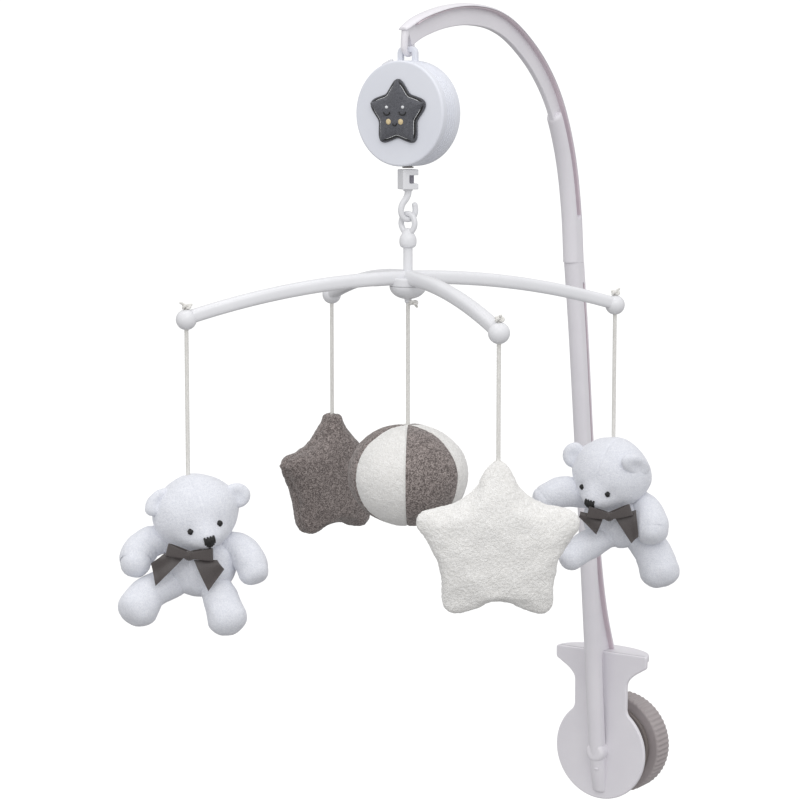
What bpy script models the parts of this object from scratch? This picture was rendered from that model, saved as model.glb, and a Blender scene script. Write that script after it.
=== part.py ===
"""Crib mobile: clamp-on stand, wind-up music box, turning crown and five hanging soft toys.

Metres, +Z up. The origin is on the clamp plate's rear face, half way up its neck, where the
plate bears on the crib rail. The arm reaches over the crib along -Y; the clamp knob is at +Y.
"""
import math

import bmesh
import bpy
from mathutils import Matrix, Vector

# Driving dimensions
GAP = 0.0003                    # running and seating gap between neighbours
REACH = 0.298                   # clamp plate to the axis that the toys hang and turn about
SCREW_Z = -0.056                # height of the clamp screw
ARM_WIDTH = 0.013               # stand's flanges, across
WEB_WIDTH = 0.0045              # stand's web, across
ARM_DEPTH = 0.0155              # stand's section, front to back
FLANGE = 0.0042                 # thickness of the outer flange
SEAM_Z = 0.3636                 # joint between lower post and upper arm
PLATE_THICK = 0.004
DISC_RADIUS = 0.0425
NECK_HALF = 0.025
LEDGE_HALF = 0.0435
LEDGE_UNDER_Z = 0.0240
LEDGE_TOP_Z = 0.0305
LEDGE_BACK = 0.024
EAR_UNDERSIDE = [(0.0250, -0.0290), (0.0256, -0.0250), (0.0280, -0.0212), (0.0325, -0.0172),
                 (0.0380, -0.0138)]  # below the ledge's top, neck to tip
RAIL_GAP = 0.018                # rail thickness the clamp is set for
PAD_THICK = 0.004
KNOB_RADIUS = 0.0425
KNOB_DEPTH = 0.022
SCREW_RADIUS = 0.0050
BOX_Z = 0.4852                  # centre of the music box
BOX_RADIUS = 0.038
BOX_DEPTH = 0.024
COVER_WALL = 0.0018
FRONT_COVER_DEPTH = 0.017
HOOK_Z = 0.527                  # centre of the arm hook's wire, the axis the music box swings on
HOOK_WIRE = 0.0020
BLOCK_SIZE = 0.012
BLOCK_TOP_Z = 0.4460
BLOCK_BOTTOM_Z = 0.4305
RING_HOOK_Z = 0.4087            # centre of the lower hook's wire, the axis the crown swings on
RING_HOOK_WIRE = 0.0021
HUB_RADIUS = 0.0135
HUB_TOP_Z = 0.3715
HUB_BOTTOM_Z = 0.3603
CROWN_RADIUS = 0.168            # hub axis to the ball ends
CROWN_ARM_Z = 0.366
BALL_Z = 0.341
BALL_RADIUS = 0.0074
CROWN_ARM_RADIUS = 0.0050
STRING_RADIUS = 0.0014
ARM_ANGLES = {"right": 55.0, "back": 145.0, "left": 235.0, "front": 325.0}
STRING_EXIT_GAP = 0.0008        # room for the string's end to tilt under its ball
TOY_TOPS = {"left": 0.2290, "right": 0.2385, "front": 0.2560, "back": 0.2460}
BEAR_TURNS = {"left": 47.0, "right": 8.0}
STAR_TURNS = {"front": 34.0, "back": 76.0}
STAR_RADII = {"front": 0.060, "back": 0.058}
STAR_THICK = 0.036
CENTRE_BALL_Z = 0.2206
CENTRE_BALL_RADIUS = 0.0420
CENTRE_BALL_HALF_HEIGHT = 0.0375
SLIDER_ANGLE = 115.0            # stop slider's place round the box's rim
COVER_SCREW_ANGLES = {"a": 50.0, "b": 170.0, "c": 290.0}

BOX_FRONT_Y = -REACH - BOX_DEPTH / 2
BOX_BACK_Y = -REACH + BOX_DEPTH / 2
GEAR_MODULE = 0.0007
BARREL_TEETH = 22
CYLINDER_TEETH = 15
GOVERNOR_TEETH = 6
BARREL_X = GEAR_MODULE * (BARREL_TEETH + CYLINDER_TEETH) / 2
GOVERNOR_ANGLE = 120.0          # towards a gap between two teeth of the cylinder's wheel
GOVERNOR_OFFSET = (Matrix.Rotation(math.radians(GOVERNOR_ANGLE), 3, 'Z')
                   @ Vector((GEAR_MODULE * (CYLINDER_TEETH + GOVERNOR_TEETH) / 2, 0, 0)))

# Outer edge of the upper arm in the Y-Z plane, hook end to seam
ARM_EDGE = [(-0.3090, 0.5460), (-0.2835, 0.5563), (-0.2500, 0.5640), (-0.2150, 0.5666),
            (-0.1800, 0.5630), (-0.1480, 0.5510), (-0.1125, 0.5272), (-0.0845, 0.4960),
            (-0.0646, 0.4546), (-0.0535, 0.4080), (-0.0485, SEAM_Z - 0.006)]
# Front and rear edges of the lower post: from above the seam to the plate's foot and the ledge
POST_FRONT = [(-0.0655, SEAM_Z + 0.005), (-0.0562, 0.3050), (-0.0460, 0.2200), (-0.0385, 0.1550),
              (-0.0300, 0.0800), (-0.0228, 0.0150), (-0.0180, -0.0300), (-0.0148, -0.0560),
              (-0.0105, -0.0800), (-0.0072, -0.0935)]
POST_REAR = [(-0.0499, SEAM_Z + 0.007), (-0.0408, 0.3050), (-0.0308, 0.2200), (-0.0222, 0.1600),
             (-0.0130, 0.1050), (-0.0030, 0.0650), (0.0105, LEDGE_TOP_Z - 0.001)]


# ---------------------------------------------------------------- helpers

def clear_scene():
    for item in list(bpy.data.objects):
        bpy.data.objects.remove(item, do_unlink=True)


def new_collection(name):
    group = bpy.data.collections.new(name)
    bpy.context.scene.collection.children.link(group)
    return group


def make_material(name, colour, roughness, metallic=0.0):
    material = bpy.data.materials.new(name)
    material.use_nodes = True
    shader = material.node_tree.nodes["Principled BSDF"]
    shader.inputs["Base Color"].default_value = (*colour, 1.0)
    shader.inputs["Roughness"].default_value = roughness
    shader.inputs["Metallic"].default_value = metallic
    return material


def evaluated_mesh(item):
    """The item's mesh with its modifiers, with any loose curve caps welded."""
    bpy.context.view_layer.update()
    graph = bpy.context.evaluated_depsgraph_get()
    mesh = bpy.data.meshes.new_from_object(item.evaluated_get(graph))
    work = bmesh.new()
    work.from_mesh(mesh)
    bmesh.ops.remove_doubles(work, verts=work.verts, dist=1e-6)
    work.to_mesh(mesh)
    work.free()
    return mesh


def as_mesh(item, name):
    """Replace an item by a plain mesh object with its modifiers applied."""
    mesh = evaluated_mesh(item)
    result = bpy.data.objects.new(name, mesh)
    result.matrix_world = item.matrix_world.copy()
    WORKSHOP.objects.link(result)
    bpy.data.objects.remove(item, do_unlink=True)
    return result


def combine(base, others, operation):
    """Union or difference of the base with each of the others, which are used up."""
    name = base.name
    for other in others:
        modifier = base.modifiers.new("join", 'BOOLEAN')
        modifier.operation = operation
        modifier.solver = 'EXACT'
        modifier.object = other
        result = as_mesh(base, name)
        bpy.data.objects.remove(other, do_unlink=True)
        base = result
    return base


def fuse(base, *others):
    return combine(base, others, 'UNION')


def cut(base, *others):
    return combine(base, others, 'DIFFERENCE')


def bevelled(item, width, segments=2, angle=40.0):
    modifier = item.modifiers.new("edge", 'BEVEL')
    modifier.width = width
    modifier.segments = segments
    modifier.limit_method = 'ANGLE'
    modifier.angle_limit = math.radians(angle)
    return item


def finish(item, name, material, parent):
    """Name the piece, give it its material, put it in the parts' collection and parent it."""
    item = as_mesh(item, name)
    item.name = name
    item.data.materials.clear()
    item.data.materials.append(material)
    item.data.shade_smooth()
    item.data.set_sharp_from_angle(angle=math.radians(35))
    WORKSHOP.objects.unlink(item)
    PARTS.objects.link(item)
    item.parent = parent
    item.matrix_parent_inverse = parent.matrix_world.inverted()
    return item


def pivot(name, place, parent=None):
    """An empty on a joint's axis."""
    empty = bpy.data.objects.new(name, None)
    empty.empty_display_size = 0.01
    PARTS.objects.link(empty)
    if parent:
        empty.parent = parent
        bpy.context.view_layer.update()
        empty.matrix_parent_inverse = parent.matrix_world.inverted()
    empty.location = place
    bpy.context.view_layer.update()
    return empty


def from_bmesh(work, name, matrix=None):
    mesh = bpy.data.meshes.new(name)
    if matrix:
        bmesh.ops.transform(work, matrix=matrix, verts=work.verts)
    bmesh.ops.recalc_face_normals(work, faces=work.faces)
    work.to_mesh(mesh)
    work.free()
    item = bpy.data.objects.new(name, mesh)
    WORKSHOP.objects.link(item)
    return item


def box(low, high, name="box", matrix=None):
    work = bmesh.new()
    bmesh.ops.create_cube(work, size=1.0)
    size = Vector(high) - Vector(low)
    centre = (Vector(high) + Vector(low)) / 2
    bmesh.ops.scale(work, vec=size, verts=work.verts)
    bmesh.ops.translate(work, vec=centre, verts=work.verts)
    return from_bmesh(work, name, matrix)


def turned_to(direction):
    return Vector((0, 0, 1)).rotation_difference(Vector(direction).normalized()).to_matrix().to_4x4()


def cylinder(start, end, radius, sides=20, name="cylinder", end_radius=None):
    start, end = Vector(start), Vector(end)
    work = bmesh.new()
    top = radius if end_radius is None else end_radius
    bmesh.ops.create_cone(work, cap_ends=True, segments=sides, radius1=radius, radius2=top,
                          depth=(end - start).length)
    place = Matrix.Translation((start + end) / 2) @ turned_to(end - start)
    return from_bmesh(work, name, place)


def at_y(spot, y):
    return Vector((spot[0], y, spot[2]))


def at_z(spot, z):
    return Vector((spot[0], spot[1], z))


def ellipsoid(centre, radii, name="ellipsoid", sides=12, rings=8, turn=None):
    work = bmesh.new()
    bmesh.ops.create_uvsphere(work, u_segments=sides, v_segments=rings, radius=1.0)
    bmesh.ops.scale(work, vec=radii, verts=work.verts)
    place = Matrix.Translation(centre)
    if turn:
        place = place @ turn
    return from_bmesh(work, name, place)


def turned(profile, place, name="turned", steps=24):
    """A profile of (radius, height) points from top to bottom, turned about local Z."""
    mesh = bpy.data.meshes.new(name)
    points = [(radius, 0.0, height) for radius, height in profile]
    edges = [(i, i + 1) for i in range(len(points) - 1)]
    mesh.from_pydata(points, edges, [])
    item = bpy.data.objects.new(name, mesh)
    WORKSHOP.objects.link(item)
    modifier = item.modifiers.new("turn", 'SCREW')
    modifier.steps = steps
    modifier.render_steps = steps
    modifier.use_merge_vertices = True
    modifier.merge_threshold = 0.00005
    item.matrix_world = place
    return as_mesh(item, name)


def along_y(centre, towards=1.0):
    """Local Z of a turned piece laid along +Y or -Y."""
    return Matrix.Translation(centre) @ turned_to((0, towards, 0))


def outline(points, thickness, place, name="outline"):
    """A flat closed outline in local X-Y, extruded evenly about its own plane."""
    curve = bpy.data.curves.new(name, 'CURVE')
    curve.dimensions = '2D'
    curve.fill_mode = 'BOTH'
    curve.extrude = thickness / 2
    spline = curve.splines.new('POLY')
    spline.points.add(len(points) - 1)
    for point, (x, y) in zip(spline.points, points):
        point.co = (x, y, 0.0, 1.0)
    spline.use_cyclic_u = True
    item = bpy.data.objects.new(name, curve)
    WORKSHOP.objects.link(item)
    item.matrix_world = place
    return as_mesh(item, name)


def tube(points, radius, name="tube", resolution=2):
    """A round bar along the points, with flat ends."""
    curve = bpy.data.curves.new(name, 'CURVE')
    curve.dimensions = '3D'
    curve.bevel_depth = radius
    curve.bevel_resolution = resolution
    curve.use_fill_caps = True
    curve.twist_mode = 'MINIMUM'
    spline = curve.splines.new('POLY')
    spline.points.add(len(points) - 1)
    for point, place in zip(spline.points, points):
        point.co = (*place, 1.0)
    item = bpy.data.objects.new(name, curve)
    WORKSHOP.objects.link(item)
    return as_mesh(item, name)


def smooth_line(points, steps=4):
    """Catmull-Rom line through the points."""
    result = []
    last = len(points) - 1
    for i in range(last):
        before = Vector(points[max(i - 1, 0)])
        start, end = Vector(points[i]), Vector(points[i + 1])
        after = Vector(points[min(i + 2, last)])
        for step in range(steps):
            t = step / steps
            result.append(0.5 * (2 * start + (end - before) * t
                                 + (2 * before - 5 * start + 4 * end - after) * t ** 2
                                 + (3 * start - before - 3 * end + after) * t ** 3))
    result.append(Vector(points[-1]))
    return result


def inset_line(line, distance):
    """The line moved sideways, to the left of its direction for a positive distance."""
    result = []
    for i, point in enumerate(line):
        ahead = line[min(i + 1, len(line) - 1)]
        behind = line[max(i - 1, 0)]
        along = (ahead - behind).normalized()
        result.append(point + Vector((-along.y, along.x)) * distance)
    return result


def lengthened(line, distance):
    """The line with its last point moved on by a distance."""
    return line[:-1] + [line[-1] + (line[-1] - line[-2]).normalized() * distance]


# A local X-Y outline stood up in the Y-Z plane: local X is Y, local Y is Z
SIDE_PLANE = Matrix(((0, 0, 1, 0), (1, 0, 0, 0), (0, 1, 0, 0), (0, 0, 0, 1)))


def front_plane(y):
    """A local X-Y outline stood up to face -Y: local X is X, local Y is Z."""
    return Matrix(((1, 0, 0, 0), (0, 0, -1, y), (0, 1, 0, 0), (0, 0, 0, 1)))


def side_band(first, second, width, name):
    """A strip between two lines of the Y-Z plane, extruded across X."""
    points = [tuple(p) for p in first] + [tuple(p) for p in reversed(second)]
    return outline(points, width, SIDE_PLANE, name)


# ---------------------------------------------------------------- stand

def build_upper_arm():
    edge = smooth_line(ARM_EDGE, 2)
    arm = side_band(edge, inset_line(edge, -FLANGE), ARM_WIDTH, "upper_arm")
    # web, inner rail and the closed stretch above the seam each end a little lower than the last
    web_edge = lengthened(edge, 0.0010)[1:]
    web = side_band(inset_line(web_edge, -FLANGE * 0.7), inset_line(web_edge, -ARM_DEPTH + 0.0004),
                    WEB_WIDTH, "web")
    rail_edge = lengthened(edge, 0.0020)[-7:]
    rail = side_band(inset_line(rail_edge, -ARM_DEPTH * 0.48), inset_line(rail_edge, -ARM_DEPTH),
                     ARM_WIDTH + 0.0002, "rail")
    closed_edge = lengthened(edge, 0.0030)[-3:]
    closed = side_band(inset_line(closed_edge, -0.0010), inset_line(closed_edge, -ARM_DEPTH + 0.0010),
                       ARM_WIDTH - 0.0003, "closed")
    arm = fuse(arm, web, rail, closed)
    arm = cut(arm, box((-0.02, -0.09, SEAM_Z - 0.02), (0.02, -0.02, SEAM_Z)))
    # a tongue below the seam plugs into the post
    tongue = box((-0.0035, -0.0605, SEAM_Z - 0.012), (0.0035, -0.0535, SEAM_Z + 0.004))
    # the hook the music box hangs on: stem in front, curl at the bottom, tip behind
    bend = 0.005
    line = [(0, -REACH - bend, 0.5470), (0, -REACH - bend, 0.5390), (0, -REACH - bend, HOOK_Z + bend)]
    for step in range(1, 7):
        angle = math.pi + step * math.pi / 6
        line.append((0, -REACH + bend * math.cos(angle), HOOK_Z + bend + bend * math.sin(angle)))
    line.append((0, -REACH + bend, HOOK_Z + bend + 0.0025))
    hook = tube(line, HOOK_WIRE, "hook")
    return fuse(arm, tongue, hook)


def plate_outline():
    """Right half of the banjo-shaped clamp plate, bottom to top, mirrored to the left."""
    fillet = 0.009
    reach_x = NECK_HALF + fillet
    # the neck's lower fillet meets the disc where the two circles touch
    meet_z = math.sqrt((DISC_RADIUS + fillet) ** 2 - reach_x ** 2)
    start = math.atan2(meet_z, reach_x)
    half = []
    for step in range(14):
        angle = -math.pi / 2 + (start + math.pi / 2) * step / 13
        half.append((DISC_RADIUS * math.cos(angle), SCREW_Z + DISC_RADIUS * math.sin(angle)))
    for step in range(1, 5):
        angle = math.pi + start - start * step / 4
        half.append((reach_x + fillet * math.cos(angle), SCREW_Z + meet_z + fillet * math.sin(angle)))
    half += [(x, LEDGE_TOP_Z + z) for x, z in EAR_UNDERSIDE]
    half.append((LEDGE_HALF, LEDGE_TOP_Z - 0.0105))
    half.append((LEDGE_HALF, LEDGE_TOP_Z - 0.0006))
    return half + [(-x, z) for x, z in reversed(half[1:])]


def ledge_outline():
    """The ledge from above: straight along the plate, bowed at the back."""
    half = LEDGE_HALF - 0.0003
    front = -PLATE_THICK + 0.0005
    points = [(-half, front), (half, front)]
    for step in range(9):
        angle = math.pi * step / 8
        points.append((half * math.cos(angle), LEDGE_BACK * math.sin(angle)))
    return points


def build_lower_post():
    front = smooth_line(POST_FRONT, 2)
    rear = smooth_line(POST_REAR, 2)
    plate = outline(plate_outline(), PLATE_THICK, front_plane(-PLATE_THICK / 2), "lower_post")
    bevelled(plate, 0.0010, 1)
    plate = as_mesh(plate, "lower_post")
    ledge_place = Matrix.Translation((0, 0, (LEDGE_TOP_Z + LEDGE_UNDER_Z) / 2))
    ledge = outline(ledge_outline(), LEDGE_TOP_Z - LEDGE_UNDER_Z, ledge_place, "ledge")
    rail_depth = 0.0100
    rail_back = [Vector((min(p.x, -0.0008), p.y)) for p in inset_line(front, rail_depth)]
    rail = side_band(front, rail_back, ARM_WIDTH, "rail")
    bevelled(rail, 0.0026, 1)
    rail = as_mesh(rail, "rail")
    flange = side_band(rear, inset_line(rear, -0.0032), ARM_WIDTH, "flange")
    web_points = [tuple(p) for p in inset_line(front, rail_depth * 0.6)]
    web_points += [(-0.0010, SCREW_Z - 0.034), (-0.0010, LEDGE_UNDER_Z + 0.001)]
    web_points += [tuple(p) for p in reversed(inset_line(rear, -0.0016))]
    web = outline(web_points, WEB_WIDTH, SIDE_PLANE, "web")
    closed = side_band([Vector((-0.0630, SEAM_Z + 0.002)), Vector((-0.0600, SEAM_Z - 0.018))],
                       [Vector((-0.0500, SEAM_Z + 0.002)), Vector((-0.0476, SEAM_Z - 0.018))],
                       ARM_WIDTH - 0.0003, "closed")
    boss = cylinder((0, -0.0142, SCREW_Z), (0, -0.002, SCREW_Z), 0.0085, 20)
    post = fuse(plate, ledge, rail, web, flange, closed, boss)
    socket_low = (-0.0035 - GAP, -0.0605 - GAP, SEAM_Z - 0.013)
    socket_high = (0.0035 + GAP, -0.0535 + GAP, SEAM_Z + 0.01)
    socket = box(socket_low, socket_high)
    seam = box((-0.02, -0.09, SEAM_Z - GAP), (0.02, -0.02, SEAM_Z + 0.03))
    screw_hole = cylinder((0, -0.0120, SCREW_Z), (0, 0.01, SCREW_Z), SCREW_RADIUS + GAP, 20)
    head_room = cylinder((0, -0.0122, SCREW_Z), (0, -0.0075, SCREW_Z), SCREW_RADIUS + 0.0018, 20)
    return cut(post, seam, socket, screw_hole, head_room)


def build_clamp_screw():
    shank = cylinder((0, -0.0090, SCREW_Z), (0, 0.0600, SCREW_Z), SCREW_RADIUS, 20, "clamp_screw")
    head = cylinder((0, -0.0118, SCREW_Z), (0, -0.0080, SCREW_Z), SCREW_RADIUS + 0.0014, 20)
    return fuse(shank, head)


def ring_profile(inner, outer, thickness, soft=0.0):
    half = thickness / 2
    if soft:
        return [(inner, half), (outer - soft, half), (outer, half - soft), (outer, -half + soft),
                (outer - soft, -half), (inner, -half), (inner, half)]
    return [(inner, half), (outer, half), (outer, -half), (inner, -half), (inner, half)]


def build_clamp_pad():
    centre = Vector((0, RAIL_GAP + PAD_THICK / 2, SCREW_Z))
    profile = ring_profile(SCREW_RADIUS + GAP, 0.034, PAD_THICK, 0.001)
    return turned(profile, along_y(centre), "clamp_pad", 24)


def build_clamp_knob():
    """Round nut with 18 shallow grip lobes and a raised hub at the back."""
    front_y = RAIL_GAP + PAD_THICK + GAP
    points = []
    count = 72
    for step in range(count):
        angle = 2 * math.pi * step / count
        lobe = 0.0009 * math.cos(18 * angle)
        points.append(((KNOB_RADIUS + lobe) * math.cos(angle), (KNOB_RADIUS + lobe) * math.sin(angle)))
    place = front_plane(front_y + KNOB_DEPTH / 2)
    place = Matrix.Translation((0, 0, SCREW_Z)) @ place
    knob = outline(points, KNOB_DEPTH, place, "clamp_knob")
    dish = turned([(0.0, 0.0), (0.033, 0.0), (0.030, -0.012), (0.0, -0.012)],
                  along_y((0, front_y + KNOB_DEPTH + 0.0001, SCREW_Z)), "dish", 24)
    hub = cylinder((0, front_y + 0.008, SCREW_Z), (0, front_y + KNOB_DEPTH, SCREW_Z), 0.012, 24)
    knob = fuse(cut(knob, dish), hub)
    bore = cylinder((0, front_y - 0.001, SCREW_Z), (0, front_y + KNOB_DEPTH + 0.001, SCREW_Z),
                    SCREW_RADIUS + GAP, 20)
    return cut(knob, bore)


# ---------------------------------------------------------------- music box

def cup_profile(depth):
    """Half section of a shallow cup, closed face at height 0, open end at -depth."""
    soft = 0.003
    return [(0.0, 0.0), (BOX_RADIUS - soft, 0.0), (BOX_RADIUS - soft * 0.3, -soft * 0.3),
            (BOX_RADIUS, -soft), (BOX_RADIUS, -depth), (BOX_RADIUS - COVER_WALL, -depth),
            (BOX_RADIUS - COVER_WALL, -soft - 0.0005), (BOX_RADIUS - soft - 0.0006, -COVER_WALL),
            (0.0, -COVER_WALL)]


def cover_screw_place(key):
    angle = math.radians(COVER_SCREW_ANGLES[key])
    return Vector((0.031 * math.cos(angle), 0.0, BOX_Z + 0.031 * math.sin(angle)))


def build_front_cover():
    seam_y = BOX_FRONT_Y + FRONT_COVER_DEPTH
    cover = turned(cup_profile(FRONT_COVER_DEPTH), along_y((0, BOX_FRONT_Y, BOX_Z), -1), "front_cover", 28)
    half, bar = 0.0066, 0.0018
    arch_z = HOOK_Z + HOOK_WIRE + GAP + bar
    line = [(-half, -REACH, BOX_Z + BOX_RADIUS - 0.0015)]
    for step in range(9):
        angle = math.pi - step * math.pi / 8
        line.append((half * math.cos(angle), -REACH, arch_z - 0.0050 + 0.0050 * math.sin(angle)))
    line.append((half, -REACH, BOX_Z + BOX_RADIUS - 0.0015))
    eyelet = tube(line, bar, "eyelet")
    posts = []
    for key in COVER_SCREW_ANGLES:
        spot = cover_screw_place(key)
        posts.append(cylinder(at_y(spot, BOX_FRONT_Y + 0.001), at_y(spot, seam_y), 0.003, 12))
    cover = fuse(cover, eyelet, *posts)
    tools = [cylinder((0, -REACH, BOX_Z - BOX_RADIUS - 0.003), (0, -REACH, BOX_Z - BOX_RADIUS + 0.006),
                      0.0032 + GAP, 16)]
    for key in COVER_SCREW_ANGLES:
        spot = cover_screw_place(key)
        tools.append(cylinder(at_y(spot, seam_y - 0.009), at_y(spot, seam_y + 0.002), 0.0013 + GAP, 10))
    tools.append(slider_block(0.0, 0.0100, 0.0066, 0.0085, "slot"))
    return cut(cover, *tools)


def slider_block(out, tangent, along, height, name):
    """A block on the box's rim at the stop slider's place."""
    turn = Matrix.Translation((0, -REACH, BOX_Z)) @ Matrix.Rotation(math.radians(90 - SLIDER_ANGLE), 4, 'Y')
    low = (-tangent / 2, -along / 2 - 0.0012, BOX_RADIUS - height / 2 + out)
    high = (tangent / 2, along / 2 - 0.0012, BOX_RADIUS + height / 2 + out)
    return box(low, high, name, turn)


def build_stop_switch():
    block = slider_block(0.0003, 0.0092, 0.0036, 0.0060, "stop_switch")
    return bevelled(block, 0.0008, 2)


def build_rear_cover():
    depth = BOX_DEPTH - FRONT_COVER_DEPTH - GAP
    cover = turned(cup_profile(depth), along_y((0, BOX_BACK_Y, BOX_Z), 1), "rear_cover", 28)
    key_spot = Vector((BARREL_X, 0.0, BOX_Z))
    tools = [cylinder(at_y(key_spot, BOX_BACK_Y - 0.004), at_y(key_spot, BOX_BACK_Y + 0.002), 0.0030, 16)]
    for key in COVER_SCREW_ANGLES:
        spot = cover_screw_place(key)
        inner, outer = at_y(spot, BOX_BACK_Y - 0.004), at_y(spot, BOX_BACK_Y + 0.002)
        tools.append(cylinder(inner, outer, 0.0013 + GAP, 10))
    return cut(cover, *tools)


def build_cover_screw(key):
    spot = cover_screw_place(key)
    seam_y = BOX_FRONT_Y + FRONT_COVER_DEPTH
    shank = cylinder(at_y(spot, seam_y - 0.008), at_y(spot, BOX_BACK_Y + 0.0008), 0.0013, 10)
    inner, outer = at_y(spot, BOX_BACK_Y + GAP), at_y(spot, BOX_BACK_Y + 0.0019)
    head = cylinder(inner, outer, 0.0027, 14, end_radius=0.0020)
    return fuse(shank, head)


def star_points(radius, inner_ratio=0.56, steps=5, roundness=0.16):
    """Plump star: straight flanks, round tips and soft notches."""
    corners = []
    for i in range(10):
        angle = math.pi / 2 + i * math.pi / 5
        size = radius if i % 2 == 0 else radius * inner_ratio
        corners.append(Vector((size * math.cos(angle), size * math.sin(angle))))
    points = []
    for i, corner in enumerate(corners):
        before, after = corners[i - 1], corners[(i + 1) % 10]
        reach = roundness * radius * (1.25 if i % 2 == 0 else 0.9)
        start = corner + (before - corner).normalized() * reach
        end = corner + (after - corner).normalized() * reach
        for step in range(steps):
            t = step / (steps - 1)
            points.append(tuple(start * (1 - t) ** 2 + corner * 2 * t * (1 - t) + end * t ** 2))
    return points


def build_star_badge():
    thick = 0.0034
    place = Matrix.Translation((0, 0, BOX_Z)) @ front_plane(BOX_FRONT_Y - GAP - thick / 2)
    badge = outline(star_points(0.0270, 0.58, 4), thick, place, "star_badge")
    return bevelled(badge, 0.0009, 1, 60.0)


def gear_outline(teeth, phase):
    pitch_radius = GEAR_MODULE * teeth / 2
    points = []
    for tooth in range(teeth):
        middle = phase + 2 * math.pi * tooth / teeth
        step = 2 * math.pi / teeth
        for offset, radius in ((-0.24, -0.0007), (-0.12, 0.0004), (0.12, 0.0004), (0.24, -0.0007)):
            angle = middle + offset * step
            reach = pitch_radius + radius
            points.append((reach * math.cos(angle), reach * math.sin(angle)))
    return points


def build_movement_frame():
    front = BOX_FRONT_Y + COVER_WALL + GAP
    plate = box((-0.0245, front, BOX_Z - 0.0190), (0.0230, front + 0.0014, BOX_Z + 0.0180), "movement_frame")
    top = box((-0.0120, front + 0.0007, BOX_Z + 0.0130), (0.0180, -REACH + 0.0090, BOX_Z + 0.0145))
    bottom = box((-0.0060, front + 0.0007, BOX_Z - 0.0175), (0.0180, -REACH + 0.0055, BOX_Z - 0.0160))
    frame = fuse(plate, top, bottom)
    tools = []
    for x in (0.0, BARREL_X):
        tools.append(cylinder((x, -REACH, BOX_Z - 0.020), (x, -REACH, BOX_Z + 0.020), 0.0015 + GAP, 12))
    spot = Vector((0, -REACH, 0)) + GOVERNOR_OFFSET
    tools.append(cylinder(at_z(spot, BOX_Z), at_z(spot, BOX_Z + 0.020), 0.0006 + GAP, 8))
    return cut(frame, *tools)


def build_tone_comb():
    """Steel comb: a thick root and 14 teeth that reach the pin cylinder."""
    root, tip, low = -0.0200, -0.0052, BOX_Z - 0.0115
    pitch, teeth = 0.0012, 14
    points = [(root, low), (root, low + pitch * teeth)]
    for tooth in reversed(range(teeth)):
        base = low + pitch * tooth
        points += [(tip, base + pitch * 0.9), (tip, base + pitch * 0.35)]
        points += [(root + 0.005, base + pitch * 0.35), (root + 0.005, base)]
    return outline(points[:-1], 0.0009, front_plane(-REACH), "tone_comb")


def build_spring_barrel():
    centre = Vector((BARREL_X, -REACH, 0))
    drum = cylinder(at_z(centre, BOX_Z - 0.0100), at_z(centre, BOX_Z + 0.0062), 0.0070, 28, "spring_barrel")
    gear_place = Matrix.Translation(centre + Vector((0, 0, BOX_Z + 0.0075)))
    gear = outline(gear_outline(BARREL_TEETH, math.pi), 0.0028, gear_place, "gear")
    arbor = cylinder(at_z(centre, BOX_Z - 0.0190), at_z(centre, BOX_Z + 0.0160), 0.0015, 12)
    return fuse(drum, gear, arbor)


def build_pin_cylinder():
    """Brass drum with its gear wheel; three raised bands stand for the rows of pins."""
    low, high = BOX_Z - 0.0130, BOX_Z + 0.0062
    drum_radius, band_radius = 0.0044, 0.0047
    profile = [(0.0018, high), (drum_radius, high)]
    for row in range(3):
        middle = high - 0.0045 - row * 0.0055
        profile += [(drum_radius, middle + 0.0006), (band_radius, middle + 0.0003),
                    (band_radius, middle - 0.0003), (drum_radius, middle - 0.0006)]
    profile += [(drum_radius, low), (0.0018, low), (0.0018, high)]
    drum = turned(profile, Matrix.Translation((0, -REACH, 0)), "pin_cylinder", 12)
    gear_place = Matrix.Translation((0, -REACH, BOX_Z + 0.0075))
    gear = outline(gear_outline(CYLINDER_TEETH, math.pi / CYLINDER_TEETH), 0.0028, gear_place, "gear")
    bore = cylinder((0, -REACH, BOX_Z + 0.0040), (0, -REACH, BOX_Z + 0.0100), 0.0018, 20)
    return fuse(drum, cut(gear, bore))


def build_governor():
    """Air brake: a six-leaf pinion on a thin arbor with a two-bladed fly."""
    centre = Vector((0, -REACH, 0)) + GOVERNOR_OFFSET
    arbor = cylinder(at_z(centre, BOX_Z + 0.0058), at_z(centre, BOX_Z + 0.0140), 0.0006, 8, "governor")
    lean = math.atan2(GOVERNOR_OFFSET.y, GOVERNOR_OFFSET.x)
    gear_place = Matrix.Translation(centre + Vector((0, 0, BOX_Z + 0.0075))) @ Matrix.Rotation(lean, 4, 'Z')
    gear = outline(gear_outline(GOVERNOR_TEETH, 0.0), 0.0024, gear_place, "gear")
    fly_low = centre + Vector((-0.0034, -0.0003, BOX_Z + 0.0096))
    fly = box(fly_low, fly_low + Vector((0.0068, 0.0006, 0.0024)))
    return fuse(arbor, gear, fly)


def build_output_shaft():
    return cylinder((0, -REACH, BLOCK_TOP_Z + GAP), (0, -REACH, BOX_Z + 0.0160), 0.0015, 14, "output_shaft")


def build_shaft_bush():
    """Flanged bush in the rim that guides the output shaft."""
    bottom, top = BOX_Z - BOX_RADIUS - 0.0012, BOX_Z - BOX_RADIUS + 0.0045
    profile = [(0.0015 + GAP, top), (0.0032, top), (0.0032, bottom + 0.0009), (0.0042, bottom + 0.0009),
               (0.0042, bottom), (0.0015 + GAP, bottom), (0.0015 + GAP, top)]
    return turned(profile, Matrix.Translation((0, -REACH, 0)), "shaft_bush", 16)


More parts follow.
